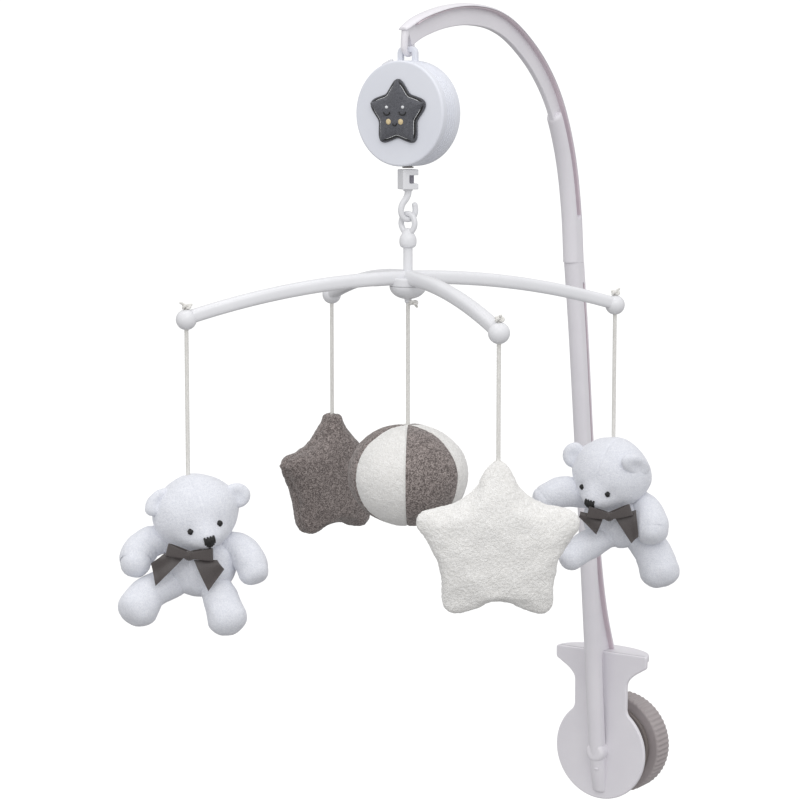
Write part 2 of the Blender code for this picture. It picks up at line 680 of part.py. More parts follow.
def build_wind_key():
    """Butterfly key behind the box, on an arbor that enters the rear cover."""
    back = BOX_BACK_Y + 0.0006
    inner, outer = (BARREL_X, BOX_BACK_Y - 0.0022, BOX_Z), (BARREL_X, back + 0.0110, BOX_Z)
    key = cylinder(inner, outer, 0.0026, 16, "wind_key")
    collar = cylinder((BARREL_X, back, BOX_Z), (BARREL_X, back + 0.0050, BOX_Z), 0.0050, 16)
    points = []
    for step in range(28):
        angle = 2 * math.pi * step / 28
        size = 0.0062 + 0.0068 * abs(math.cos(angle)) ** 1.5
        points.append((size * math.cos(angle), size * math.sin(angle) * 0.62 + 0.0115))
    wings = outline(points, 0.0030, Matrix.Translation((BARREL_X, back, BOX_Z)), "wings")
    return fuse(key, collar, bevelled_mesh(wings, 0.0008, 1))


def bevelled_mesh(item, width, segments):
    return as_mesh(bevelled(item, width, segments), item.name)


# ---------------------------------------------------------------- crown

def crown_direction(side):
    angle = math.radians(ARM_ANGLES[side])
    return Vector((math.cos(angle), math.sin(angle), 0.0))


def build_coupling_block():
    turn = Matrix.Translation((0, -REACH, 0)) @ Matrix.Rotation(math.radians(ARM_ANGLES["right"]), 4, 'Z')
    half = BLOCK_SIZE / 2
    block = box((-half, -half, BLOCK_BOTTOM_Z), (half, half, BLOCK_TOP_Z), "coupling_block", turn)
    bevelled(block, 0.0006, 1)
    middle = (BLOCK_TOP_Z + BLOCK_BOTTOM_Z) / 2
    low = (-0.0008, -half - 0.001, middle - 0.0030)
    high = (half + 0.001, half + 0.001, middle + 0.0030)
    window = box(low, high, "window", turn)
    block = cut(as_mesh(block, "coupling_block"), window)
    local = [(0.0, BLOCK_BOTTOM_Z + 0.001), (0.0, BLOCK_BOTTOM_Z - 0.0050), (-0.0030, 0.4215),
             (-0.0054, 0.4170), (-0.0052, 0.4122), (-0.0028, 0.4094), (0.0, RING_HOOK_Z),
             (0.0032, 0.4097), (0.0053, 0.4125), (0.0058, 0.4160), (0.0054, 0.4185)]
    across = crown_direction("right")
    line = [Vector((0, -REACH, z)) + across * x for x, z in local]
    return fuse(block, tube(line, RING_HOOK_WIRE, "hook", 3))


def build_crown_ring():
    """Ring that hangs on the lower hook, with the bead and stem below it."""
    wire = 0.0019
    radius = 0.0062
    centre_z = RING_HOOK_Z + RING_HOOK_WIRE + GAP + wire - radius
    bpy.ops.mesh.primitive_torus_add(major_segments=16, minor_segments=6, major_radius=radius,
                                     minor_radius=wire)
    ring = bpy.context.object
    ring.name = "crown_ring"
    for group in list(ring.users_collection):
        group.objects.unlink(ring)
    WORKSHOP.objects.link(ring)
    across = crown_direction("right")
    ring.matrix_world = Matrix.Translation((0, -REACH, centre_z)) @ turned_to(across)
    ring = as_mesh(ring, "crown_ring")
    profile = [(0.0, 0.4008), (0.0026, 0.4004), (0.0048, 0.3988), (0.0062, 0.3965), (0.0063, 0.3925),
               (0.0054, 0.3885), (0.0042, 0.3872), (0.0034, 0.3868), (0.0033, HUB_TOP_Z + 0.004),
               (0.0045, HUB_TOP_Z + GAP), (0.0, HUB_TOP_Z + GAP)]
    return fuse(turned(profile, Matrix.Translation((0, -REACH, 0)), "crown_ring", 14), ring)


def build_crown_hub():
    profile = [(0.0, HUB_TOP_Z), (0.0105, HUB_TOP_Z), (HUB_RADIUS, HUB_TOP_Z - 0.0025),
               (HUB_RADIUS, HUB_BOTTOM_Z), (0.0, HUB_BOTTOM_Z)]
    return turned(profile, Matrix.Translation((0, -REACH, 0)), "crown_hub", 18)


def build_hub_dome():
    top = HUB_BOTTOM_Z - GAP
    depth = top - 0.3505
    profile = [(0.0, top), (HUB_RADIUS, top)]
    for step in range(1, 7):
        angle = step * math.pi / 12
        profile.append((HUB_RADIUS * math.cos(angle), top - depth * math.sin(angle)))
    profile[-1] = (0.0, top - depth)
    dome = turned(profile, Matrix.Translation((0, -REACH, 0)), "hub_dome", 18)
    lug = cylinder((0, -REACH, 0.3520), (0, -REACH, 0.3475), 0.0024, 10)
    return fuse(dome, lug)


def build_crown_arm(side):
    """Moulded arm, open along its underside, that arches from the hub down to its ball."""
    outward = crown_direction(side)
    start, end = HUB_RADIUS + GAP, CROWN_RADIUS - BALL_RADIUS - GAP
    line = []
    for step in range(11):
        along = start + (end - start) * step / 10
        fall = (CROWN_ARM_Z - BALL_Z - 0.0008) * (along / CROWN_RADIUS) ** 2
        line.append(Vector((0, -REACH, CROWN_ARM_Z - fall)) + outward * along)
    arm = tube(line, CROWN_ARM_RADIUS, "arm_" + side, 3)
    groove = [point + Vector((0, 0, -0.0042)) for point in line[3:-1]]
    return cut(arm, tube(groove, 0.0024, "groove", 1))


def build_ball_end(side):
    centre = Vector((0, -REACH, BALL_Z)) + crown_direction(side) * CROWN_RADIUS
    return ellipsoid(centre, (BALL_RADIUS,) * 3, "ball_" + side, 12, 8)


def string_exit(side):
    if side == "centre":
        return Vector((0, -REACH, 0.3470))
    place = Vector((0, -REACH, BALL_Z - BALL_RADIUS - STRING_EXIT_GAP))
    return place + crown_direction(side) * CROWN_RADIUS


def toy_top(side):
    place = string_exit(side)
    place.z = CENTRE_BALL_Z + CENTRE_BALL_HALF_HEIGHT if side == "centre" else TOY_TOPS[side]
    return place


def build_string(side):
    start, end = string_exit(side), toy_top(side) + Vector((0, 0, GAP))
    count = 12
    line = [start.lerp(end, step / count) for step in range(count + 1)]
    return tube(line, STRING_RADIUS, "string_" + side)


def build_knot(side):
    if side == "centre":
        spot = Vector((0.0052, -REACH - 0.0010, 0.3482))
        return ellipsoid(spot, (0.0022, 0.0020, 0.0020), "knot_centre", 8, 6)
    spot = string_exit(side)
    spot.z = BALL_Z + BALL_RADIUS + 0.0018
    return ellipsoid(spot, (0.0034, 0.0026, 0.0016), "knot_" + side, 8, 6)


# ---------------------------------------------------------------- soft toys

def bear_place(side):
    return Matrix.Translation(toy_top(side)) @ Matrix.Rotation(math.radians(BEAR_TURNS[side]), 4, 'Z')


def limb(start, end, start_radius, end_radius, name="limb"):
    """A tapered round limb with a domed far end."""
    start, end = Vector(start), Vector(end)
    stem = cylinder(start, end, start_radius, 9, name, end_radius * 0.96)
    return fuse(stem, ellipsoid(end, (end_radius,) * 3, "paw", 9, 6))


def place_at(item, matrix):
    item.matrix_world = matrix @ item.matrix_world
    return item


def build_bear_head(side):
    head = ellipsoid((0, 0, -0.0285), (0.0310, 0.0275, 0.0280), "head", 13, 8)
    muzzle = ellipsoid((0, -0.0240, -0.0370), (0.0135, 0.0120, 0.0100), "muzzle", 9, 6)
    ears = [ellipsoid((x, 0.002, -0.0100), (0.0100, 0.0055, 0.0100), "ear", 8, 6) for x in (-0.0265, 0.0265)]
    return place_at(fuse(head, muzzle, *ears), bear_place(side))


def build_bear_body(side):
    body = ellipsoid((0, 0, -0.0795), (0.0280, 0.0225, 0.0225), "body", 13, 8)
    limbs = []
    for x in (-1, 1):
        limbs.append(limb((x * 0.016, 0.0, -0.0720), (x * 0.0415, -0.0085, -0.0615), 0.0100, 0.0125))
        limbs.append(limb((x * 0.012, -0.004, -0.0880), (x * 0.0320, -0.0260, -0.0985), 0.0130, 0.0160))
    return place_at(fuse(body, *limbs), bear_place(side))


def build_bear_bow(side):
    thick = 0.0036
    points = [(-0.0030, 0.0030), (-0.0150, 0.0085), (-0.0200, 0.0060), (-0.0190, -0.0060),
              (-0.0130, -0.0065), (-0.0200, -0.0170), (-0.0140, -0.0200), (-0.0020, -0.0045),
              (0.0070, -0.0210), (0.0130, -0.0185),
              (0.0090, -0.0060), (0.0190, -0.0050), (0.0200, 0.0070), (0.0150, 0.0090), (0.0030, 0.0030)]
    place = Matrix.Translation((0, 0, -0.0570)) @ front_plane(-0.0250 - thick / 2)
    return place_at(outline(points, thick, place, "bow"), bear_place(side))


def build_hanging_star(side):
    radius = STAR_RADII[side]
    place = Matrix.Translation(toy_top(side)) @ Matrix.Rotation(math.radians(STAR_TURNS[side]), 4, 'Z')
    place = place @ Matrix.Translation((0, 0, -radius * 0.945)) @ front_plane(0)
    star = outline(star_points(radius, 0.56, 4), STAR_THICK, place, side + "_star")
    return bevelled(star, 0.0100, 1, 60.0)


def build_centre_ball():
    radii = (CENTRE_BALL_RADIUS, CENTRE_BALL_RADIUS, CENTRE_BALL_HALF_HEIGHT)
    return ellipsoid((0, -REACH, CENTRE_BALL_Z), radii, "centre_ball", 18, 11)


# ---------------------------------------------------------------- assembly

def build_all():
    white = make_material("white_plastic", (0.80, 0.78, 0.82), 0.38)
    crown_white = make_material("crown_plastic", (0.88, 0.88, 0.90), 0.35)
    rubber = make_material("taupe_rubber", (0.20, 0.17, 0.16), 0.75)
    steel = make_material("steel", (0.55, 0.55, 0.56), 0.3, 1.0)
    brass = make_material("brass", (0.78, 0.60, 0.30), 0.3, 1.0)
    felt = make_material("charcoal_felt", (0.10, 0.10, 0.12), 0.95)
    cord = make_material("string_cotton", (0.80, 0.79, 0.76), 0.9)
    plush = make_material("white_plush", (0.85, 0.86, 0.90), 0.95)
    terry_white = make_material("white_terry", (0.88, 0.87, 0.84), 0.95)
    terry_taupe = make_material("taupe_terry", (0.27, 0.24, 0.23), 0.95)
    ribbon = make_material("taupe_ribbon", (0.07, 0.06, 0.06), 0.5)

    axis = Vector((0, -REACH, 0))
    stand = pivot("stand", (0, 0, 0))
    finish(build_lower_post(), "lower_post", white, stand)
    finish(build_upper_arm(), "upper_arm", white, stand)
    finish(build_clamp_screw(), "clamp_screw", steel, stand)
    pad = pivot("pad_pivot", (0, RAIL_GAP, SCREW_Z), stand)
    finish(build_clamp_pad(), "clamp_pad", rubber, pad)
    knob = pivot("knob_pivot", (0, RAIL_GAP + PAD_THICK, SCREW_Z), pad)
    finish(build_clamp_knob(), "clamp_knob", white, knob)

    music_box = pivot("music_box_pivot", axis + Vector((0, 0, HOOK_Z)), stand)
    finish(build_front_cover(), "front_cover", white, music_box)
    finish(build_rear_cover(), "rear_cover", white, music_box)
    for key in COVER_SCREW_ANGLES:
        finish(build_cover_screw(key), "cover_screw_" + key, steel, music_box)
    finish(build_star_badge(), "star_badge", felt, music_box)
    finish(build_movement_frame(), "movement_frame", steel, music_box)
    finish(build_tone_comb(), "tone_comb", steel, music_box)
    finish(build_shaft_bush(), "shaft_bush", brass, music_box)
    slider = pivot("stop_switch_pivot", axis + Vector((0, 0, BOX_Z)), music_box)
    finish(build_stop_switch(), "stop_switch", white, slider)
    key = pivot("wind_key_pivot", (BARREL_X, BOX_BACK_Y, BOX_Z), music_box)
    finish(build_wind_key(), "wind_key", crown_white, key)
    barrel = pivot("spring_barrel_pivot", (BARREL_X, -REACH, BOX_Z), music_box)
    finish(build_spring_barrel(), "spring_barrel", brass, barrel)
    governor = pivot("governor_pivot", axis + GOVERNOR_OFFSET + Vector((0, 0, BOX_Z)), music_box)
    finish(build_governor(), "governor", brass, governor)

    shaft = pivot("shaft_pivot", axis + Vector((0, 0, BOX_Z)), music_box)
    finish(build_output_shaft(), "output_shaft", steel, shaft)
    finish(build_pin_cylinder(), "pin_cylinder", brass, shaft)
    finish(build_coupling_block(), "coupling_block", crown_white, shaft)

    crown = pivot("crown_pivot", axis + Vector((0, 0, RING_HOOK_Z)), shaft)
    finish(build_crown_ring(), "crown_ring", crown_white, crown)
    finish(build_crown_hub(), "crown_hub", crown_white, crown)
    finish(build_hub_dome(), "hub_dome", crown_white, crown)
    for side in ARM_ANGLES:
        finish(build_crown_arm(side), "arm_" + side, crown_white, crown)
        finish(build_ball_end(side), "ball_" + side, crown_white, crown)
    for side in [*ARM_ANGLES, "centre"]:
        finish(build_knot(side), "knot_" + side, cord, crown)

    hangers = {}
    for side in [*ARM_ANGLES, "centre"]:
        hangers[side] = pivot("string_pivot_" + side, string_exit(side), crown)
        finish(build_string(side), "string_" + side, cord, hangers[side])
    for side in BEAR_TURNS:
        toy = pivot("bear_pivot_" + side, toy_top(side), hangers[side])
        finish(build_bear_head(side), side + "_bear_head", plush, toy)
        finish(build_bear_body(side), side + "_bear_body", plush, toy)
        finish(build_bear_bow(side), side + "_bear_bow", ribbon, toy)
    for side, cloth in (("front", terry_white), ("back", terry_taupe)):
        toy = pivot("star_pivot_" + side, toy_top(side), hangers[side])
        finish(build_hanging_star(side), side + "_star", cloth, toy)
    toy = pivot("centre_ball_pivot", toy_top("centre"), hangers["centre"])
    finish(build_centre_ball(), "centre_ball", terry_white, toy)


clear_scene()
PARTS = new_collection("crib_mobile")
WORKSHOP = new_collection("workshop")
build_all()
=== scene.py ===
from math import atan2, cos, exp, pi, radians, sin, sqrt

import bmesh
import bpy
from mathutils import Matrix, Vector, noise


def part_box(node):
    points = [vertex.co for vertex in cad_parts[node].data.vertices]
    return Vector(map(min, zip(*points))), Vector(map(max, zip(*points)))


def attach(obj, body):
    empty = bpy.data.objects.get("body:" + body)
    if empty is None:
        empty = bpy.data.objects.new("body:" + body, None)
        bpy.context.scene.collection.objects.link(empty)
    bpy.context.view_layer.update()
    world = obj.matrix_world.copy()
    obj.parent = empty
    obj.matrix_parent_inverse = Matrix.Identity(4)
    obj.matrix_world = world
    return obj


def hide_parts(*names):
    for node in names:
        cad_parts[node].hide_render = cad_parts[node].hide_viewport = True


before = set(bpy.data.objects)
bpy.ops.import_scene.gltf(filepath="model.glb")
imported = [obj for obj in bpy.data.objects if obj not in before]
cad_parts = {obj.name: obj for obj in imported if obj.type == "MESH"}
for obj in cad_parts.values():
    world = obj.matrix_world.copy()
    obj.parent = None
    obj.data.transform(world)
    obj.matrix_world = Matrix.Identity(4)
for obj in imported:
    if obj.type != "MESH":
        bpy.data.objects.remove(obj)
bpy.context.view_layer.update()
toyTurns = {"left": 47.0, "right": 8.0, "front": 34.0, "back": 76.0}
armSides = ("right", "back", "left", "front")


# Places that come from the frame

def middle(node):
    low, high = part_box(node)
    return (low + high) / 2


hang = Vector((middle("output_shaft").x, middle("output_shaft").y, 0))  # line that the crown turns about
case = {"z": middle("rear_cover").z, "radius": (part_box("rear_cover")[1].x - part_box("rear_cover")[0].x) / 2,
        "front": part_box("front_cover")[0].y, "back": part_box("rear_cover")[1].y}


def outward(side):
    away = middle("ball_" + side) - hang
    return Vector((away.x, away.y, 0)).normalized()


def toyTop(side):
    low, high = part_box("string_" + side)
    return Vector(((low.x + high.x) / 2, (low.y + high.y) / 2, low.z))


# Camera and light

view = {"eye": (0.9738, -1.7521, 0.4984), "pitch": 82.76, "yaw": 34.0, "lens": 108.0}
studio = {"bright": (0.30, -0.20, 0.93), "tent": (0.30, 0.93),
          "softboxes": [("keySoftbox", (1.2, -1.5, 1.7), 1.2, 8), ("topSoftbox", (-0.1, -0.4, 2.1), 1.6, 5),
                        ("frontSoftbox", (0.2, -2.2, 0.9), 1.0, 4)]}


def placeCamera():
    lens = bpy.data.cameras.new("camera")
    lens.lens = view["lens"]
    lens.sensor_width = 36.0
    eye = bpy.data.objects.new("camera", lens)
    eye.location = view["eye"]
    eye.rotation_euler = (radians(view["pitch"]), 0, radians(view["yaw"]))
    bpy.context.scene.collection.objects.link(eye)
    bpy.context.scene.camera = eye


def addSoftbox(name, spot, aim, size, power):
    lamp = bpy.data.lights.new(name, 'AREA')
    lamp.shape = 'SQUARE'
    lamp.size = size
    lamp.energy = power
    box = bpy.data.objects.new(name, lamp)
    box.location = spot
    box.rotation_euler = (Vector(aim) - Vector(spot)).to_track_quat('-Z', 'Y').to_euler()
    bpy.context.scene.collection.objects.link(box)


def lightStudio():
    scene = bpy.context.scene
    scene.view_settings.view_transform = 'Standard'
    world = bpy.data.worlds.new("studio")
    world.use_nodes = True
    scene.world = world
    nodes, links = world.node_tree.nodes, world.node_tree.links
    tent = nodes["Background"]  # a white tent, brighter above and to the right of the lens
    spot = nodes.new("ShaderNodeTexCoord")
    facing = nodes.new("ShaderNodeVectorMath")
    facing.operation = 'DOT_PRODUCT'
    facing.inputs[1].default_value = studio["bright"]
    links.new(spot.outputs["Generated"], facing.inputs[0])
    level = nodes.new("ShaderNodeMapRange")
    level.interpolation_type = 'SMOOTHSTEP'
    level.inputs["From Min"].default_value = -1.0
    level.inputs["To Min"].default_value, level.inputs["To Max"].default_value = studio["tent"]
    links.new(facing.outputs["Value"], level.inputs["Value"])
    links.new(level.outputs["Result"], tent.inputs["Strength"])
    tent.inputs["Color"].default_value = (1.0, 0.995, 1.0, 1.0)
    paper = nodes.new("ShaderNodeBackground")
    paper.inputs["Color"].default_value = (1.0, 1.0, 1.0, 1.0)
    paper.inputs["Strength"].default_value = 1.1
    pick = nodes.new("ShaderNodeMixShader")
    path = nodes.new("ShaderNodeLightPath")
    links.new(path.outputs["Is Camera Ray"], pick.inputs["Fac"])
    links.new(tent.outputs[0], pick.inputs[1])
    links.new(paper.outputs[0], pick.inputs[2])
    links.new(pick.outputs[0], nodes["World Output"].inputs["Surface"])
    aim = hang + Vector((0, 0, 0.25))
    for name, place, size, power in studio["softboxes"]:
        addSoftbox(name, place, aim, size, power)


placeCamera()
lightStudio()
print("camera and light placed")


# Shared shader groups: each puts out a shade from 0 to 1 and a height

def newGroup(name, values):
    group = bpy.data.node_groups.new(name, 'ShaderNodeTree')
    for label, value in values.items():
        socket = group.interface.new_socket(label, in_out='INPUT', socket_type='NodeSocketFloat')
        socket.default_value = value
    for label in ("Shade", "Height"):
        group.interface.new_socket(label, in_out='OUTPUT', socket_type='NodeSocketFloat')
    nodes = group.nodes
    given = nodes.new("NodeGroupInput")
    result = nodes.new("NodeGroupOutput")
    spot = nodes.new("ShaderNodeTexCoord")
    return group, nodes, group.links, given, result, spot


def addNoise(nodes, links, spot, detail, distortion=0.0, rough=0.5):
    cloud = nodes.new("ShaderNodeTexNoise")
    cloud.inputs["Detail"].default_value = detail
    cloud.inputs["Distortion"].default_value = distortion
    cloud.inputs["Roughness"].default_value = rough
    links.new(spot, cloud.inputs["Vector"])
    return cloud


def addMath(nodes, links, operation, first, second):
    step = nodes.new("ShaderNodeMath")
    step.operation = operation
    for socket, value in zip(step.inputs, (first, second)):
        if isinstance(value, (int, float)):
            socket.default_value = value
        else:
            links.new(value, socket)
    return step.outputs[0]


# fine moulded grain and slow unevenness
def buildMouldGrain():
    group, nodes, links, given, result, spot = newGroup("mouldGrain", {"Grain": 1400.0, "Cloud": 30.0})
    fine = addNoise(nodes, links, spot.outputs["Object"], 2.0)
    links.new(given.outputs["Grain"], fine.inputs["Scale"])
    slow = addNoise(nodes, links, spot.outputs["Object"], 3.0)
    links.new(given.outputs["Cloud"], slow.inputs["Scale"])
    links.new(slow.outputs["Fac"], result.inputs["Shade"])
    links.new(fine.outputs["Fac"], result.inputs["Height"])
    return group


# short fabric pile: cells broken up by noise, with dark gaps between loops as painted shade
def buildLoopPile():
    group, nodes, links, given, result, spot = newGroup("loopPile", {"Pile": 620.0, "Tufts": 190.0})
    warp = addNoise(nodes, links, spot.outputs["Object"], 1.0)
    warp.inputs["Scale"].default_value = 330.0
    shifted = nodes.new("ShaderNodeVectorMath")
    shifted.operation = 'MULTIPLY_ADD'
    links.new(warp.outputs["Color"], shifted.inputs[0])
    shifted.inputs[1].default_value = (0.0022, 0.0022, 0.0022)
    links.new(spot.outputs["Object"], shifted.inputs[2])
    cells = nodes.new("ShaderNodeTexVoronoi")
    cells.feature = 'F1'
    links.new(shifted.outputs[0], cells.inputs["Vector"])
    links.new(given.outputs["Pile"], cells.inputs["Scale"])
    tufts = addNoise(nodes, links, spot.outputs["Object"], 3.0, 0.4, 0.6)
    links.new(given.outputs["Tufts"], tufts.inputs["Scale"])
    loops = addMath(nodes, links, 'SUBTRACT', 1.0, cells.outputs["Distance"])
    both = addMath(nodes, links, 'MULTIPLY_ADD', loops, 0.6)
    step = both.node
    half = addMath(nodes, links, 'MULTIPLY', tufts.outputs["Fac"], 0.55)
    links.new(half, step.inputs[2])
    links.new(both, result.inputs["Shade"])
    links.new(both, result.inputs["Height"])
    return group


# drawn fibres or turning marks: noise stretched along one axis
def buildFibre():
    group, nodes, links, given, result, spot = newGroup("fibre", {"Across": 900.0, "Along": 60.0})
    apart = nodes.new("ShaderNodeSeparateXYZ")
    links.new(spot.outputs["Object"], apart.inputs[0])
    scaled = nodes.new("ShaderNodeCombineXYZ")
    for axis in ("X", "Y"):
        links.new(addMath(nodes, links, 'MULTIPLY', apart.outputs[axis], given.outputs["Across"]),
                  scaled.inputs[axis])
    links.new(addMath(nodes, links, 'MULTIPLY', apart.outputs["Z"], given.outputs["Along"]),
              scaled.inputs["Z"])
    cloud = addNoise(nodes, links, scaled.outputs[0], 2.0)
    cloud.inputs["Scale"].default_value = 1.0
    links.new(cloud.outputs["Fac"], result.inputs["Shade"])
    links.new(cloud.outputs["Fac"], result.inputs["Height"])
    return group


groups = {"grain": buildMouldGrain(), "pile": buildLoopPile(), "fibre": buildFibre()}


# a principled material whose colour, roughness and bump follow one of the shared patterns
def newMaterial(name, pattern, values, dark, light, window=(0.3, 0.7), bump=(0.1, 0.0002),
                rough=(0.4, 0.5), **sockets):
    material = bpy.data.materials.new(name)
    material.use_nodes = True
    nodes, links = material.node_tree.nodes, material.node_tree.links
    shader = nodes["Principled BSDF"]
    use = nodes.new("ShaderNodeGroup")
    use.node_tree = groups[pattern]
    for label, value in values.items():
        use.inputs[label].default_value = value
    ramp = nodes.new("ShaderNodeMapRange")
    ramp.inputs["From Min"].default_value, ramp.inputs["From Max"].default_value = window
    links.new(use.outputs["Shade"], ramp.inputs["Value"])
    mix = nodes.new("ShaderNodeMix")
    mix.name = "tone"
    mix.data_type = 'RGBA'
    mix.inputs["A"].default_value = (*dark, 1)
    mix.inputs["B"].default_value = (*light, 1)
    links.new(ramp.outputs["Result"], mix.inputs["Factor"])
    links.new(mix.outputs["Result"], shader.inputs["Base Color"])
    gloss = nodes.new("ShaderNodeMapRange")
    gloss.inputs["To Min"].default_value, gloss.inputs["To Max"].default_value = rough
    links.new(use.outputs["Shade"], gloss.inputs["Value"])
    links.new(gloss.outputs["Result"], shader.inputs["Roughness"])
    relief = nodes.new("ShaderNodeBump")
    relief.inputs["Strength"].default_value, relief.inputs["Distance"].default_value = bump
    links.new(use.outputs["Height"], relief.inputs["Height"])
    links.new(relief.outputs["Normal"], shader.inputs["Normal"])
    for label, value in sockets.items():
        shader.inputs[label.replace("_", " ")].default_value = value
    return material


def plastic(name, dark, light, rough):
    return newMaterial(name, "grain", {}, dark, light, bump=(0.05, 0.0001), rough=rough,
                       Coat_Weight=0.12, Coat_Roughness=0.12)


def metal(name, dark, light):
    return newMaterial(name, "fibre", {"Across": 60.0, "Along": 2600.0}, dark, light, bump=(0.12, 0.0001),
                       rough=(0.22, 0.42), Metallic=1.0)


def pile(name, dark, light, window, scale, bump, sheen):
    return newMaterial(name, "pile", {"Pile": scale, "Tufts": scale * 0.3}, dark, light, window=window,
                       bump=bump, rough=(0.85, 1.0), Sheen_Weight=sheen, Sheen_Roughness=0.45)


milkTones = ((0.80, 0.79, 0.765), (0.93, 0.925, 0.91))
taupeTones = ((0.115, 0.096, 0.090), (0.46, 0.40, 0.38))
terryLoop, terryRelief = 1150.0, (0.8, 0.0009)
sewingThread = {"Across": 3000.0, "Along": 600.0}
paints = {
    "stand": plastic("standPlastic", (0.775, 0.757, 0.80), (0.815, 0.797, 0.835), (0.30, 0.36)),
    # a pinker, darker copy of the stand plastic: painted shade for the grooves inside the flanges
    "recessShade": plastic("standPlasticPaintedShade", (0.64, 0.55, 0.60), (0.68, 0.59, 0.64), (0.34, 0.40)),
    # dark grey-violet plastic: painted shade inside the coupling block's window
    "pocketShade": plastic("pocketShadePlastic", (0.26, 0.25, 0.30), (0.31, 0.30, 0.35), (0.40, 0.50)),
    "crown": plastic("crownPlastic", (0.76, 0.765, 0.79), (0.80, 0.805, 0.83), (0.26, 0.32)),
    "case": plastic("casePlastic", (0.745, 0.765, 0.83), (0.78, 0.80, 0.86), (0.36, 0.44)),
    # warm grey knob plastic, darkened with painted shade
    "knob": plastic("knobPlasticShaded", (0.36, 0.32, 0.32), (0.42, 0.38, 0.38), (0.35, 0.45)),
    "rubber": plastic("taupeRubber", (0.17, 0.15, 0.14), (0.22, 0.19, 0.18), (0.75, 0.85)),
    "steel": metal("turnedSteel", (0.40, 0.40, 0.41), (0.60, 0.60, 0.61)),
    "shaft": metal("darkSteel", (0.10, 0.09, 0.09), (0.22, 0.20, 0.19)),
    "brass": metal("turnedBrass", (0.66, 0.48, 0.22), (0.84, 0.66, 0.36)),
    "plush": pile("whitePlush", (0.71, 0.73, 0.79), (0.85, 0.865, 0.91), (0.42, 0.80), 1500.0,
                  (0.6, 0.0006), 0.35),
    "terry": pile("whiteTerry", *milkTones, (0.42, 0.76), terryLoop, terryRelief, 0.2),
    "taupe": pile("taupeTerry", *taupeTones, (0.46, 0.86), terryLoop, terryRelief, 0.25),
    "felt": pile("charcoalFelt", (0.062, 0.064, 0.074), (0.150, 0.153, 0.172), (0.35, 0.85), 2200.0,
                 (0.4, 0.0003), 0.3),
    "cotton": newMaterial("stringCotton", "fibre", {"Across": 2400.0, "Along": 300.0}, (0.66, 0.65, 0.62),
                          (0.84, 0.83, 0.80), bump=(0.4, 0.0002), rough=(0.85, 0.95), Sheen_Weight=0.2),
    "ribbon": newMaterial("taupeRibbon", "fibre", {"Across": 900.0, "Along": 5200.0}, (0.050, 0.042, 0.040),
                          (0.085, 0.072, 0.070), bump=(0.25, 0.0001), rough=(0.34, 0.46), Sheen_Weight=0.3),
    "black": newMaterial("blackThread", "fibre", sewingThread, (0.006, 0.006, 0.006),
                         (0.018, 0.017, 0.017), bump=(0.3, 0.0001), rough=(0.45, 0.6)),
    "silver": newMaterial("paleThread", "fibre", sewingThread, (0.62, 0.63, 0.66),
                          (0.88, 0.89, 0.90), bump=(0.3, 0.0001), rough=(0.4, 0.55)),
    "gold": newMaterial("goldThread", "fibre", sewingThread, (0.55, 0.42, 0.22),
                        (0.82, 0.68, 0.42), bump=(0.3, 0.0001), rough=(0.4, 0.55)),
}


# terry whose colour changes from panel to panel, by the ball's own attribute
def panelTerry():
    material = pile("twoToneTerry", *milkTones, (0.45, 0.80), terryLoop, terryRelief, 0.2)
    nodes, links = material.node_tree.nodes, material.node_tree.links
    pale = nodes["tone"]
    deep = nodes.new("ShaderNodeMix")
    deep.data_type = 'RGBA'
    deep.inputs["A"].default_value = (*taupeTones[0], 1)
    deep.inputs["B"].default_value = (*taupeTones[1], 1)
    links.new(pale.inputs["Factor"].links[0].from_socket, deep.inputs["Factor"])
    panel = nodes.new("ShaderNodeAttribute")
    panel.attribute_name = "panel"
    choose = nodes.new("ShaderNodeMix")
    choose.data_type = 'RGBA'
    links.new(panel.outputs["Fac"], choose.inputs["Factor"])
    links.new(pale.outputs["Result"], choose.inputs["A"])
    links.new(deep.outputs["Result"], choose.inputs["B"])
    links.new(choose.outputs["Result"], nodes["Principled BSDF"].inputs["Base Color"])
    return material


paints["panels"] = panelTerry()
print("materials made")


# Making helpers

weldGap = 0.0000005


# turns a bmesh into a piece of the object that rides on a body
def addPiece(name, bm, body, paint, replaced=(), sharp=38.0, even=True, second=None):
    bmesh.ops.remove_doubles(bm, verts=bm.verts[:], dist=weldGap)
    bmesh.ops.recalc_face_normals(bm, faces=bm.faces[:])
    mesh = bpy.data.meshes.new(name)
    bm.to_mesh(mesh)
    bm.free()
    piece = bpy.data.objects.new(name, mesh)
    bpy.context.scene.collection.objects.link(piece)
    mesh.materials.append(paints[paint])
    if second:
        mesh.materials.append(paints[second])
    mesh.shade_smooth()
    if even:
        mesh.set_sharp_from_angle(angle=radians(sharp))
        weigh = piece.modifiers.new("evenShade", 'WEIGHTED_NORMAL')
        weigh.keep_sharp = True
    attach(piece, body)
    if replaced:
        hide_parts(*replaced)
    return piece


# adds one finished form to another, as a closed shell of its own
def blend(bm, part, matrix=None, shade=0):
    for side in part.faces:
        side.material_index = shade
    if matrix is not None:
        bmesh.ops.transform(part, matrix=matrix, verts=part.verts[:])
    bmesh.ops.recalc_face_normals(part, faces=part.faces[:])
    held = bpy.data.meshes.new("held")
    part.to_mesh(held)
    part.free()
    bm.from_mesh(held)
    bpy.data.meshes.remove(held)


# local X-Y stood up to face -Y at that depth
def frontPlane(y):
    return Matrix(((1, 0, 0, 0), (0, 0, -1, y), (0, 1, 0, 0), (0, 0, 0, 1)))


sidePlane = Matrix(((0, 0, 1, 0), (1, 0, 0, 0), (0, 1, 0, 0), (0, 0, 0, 1)))  # local X is Y, local Y is Z


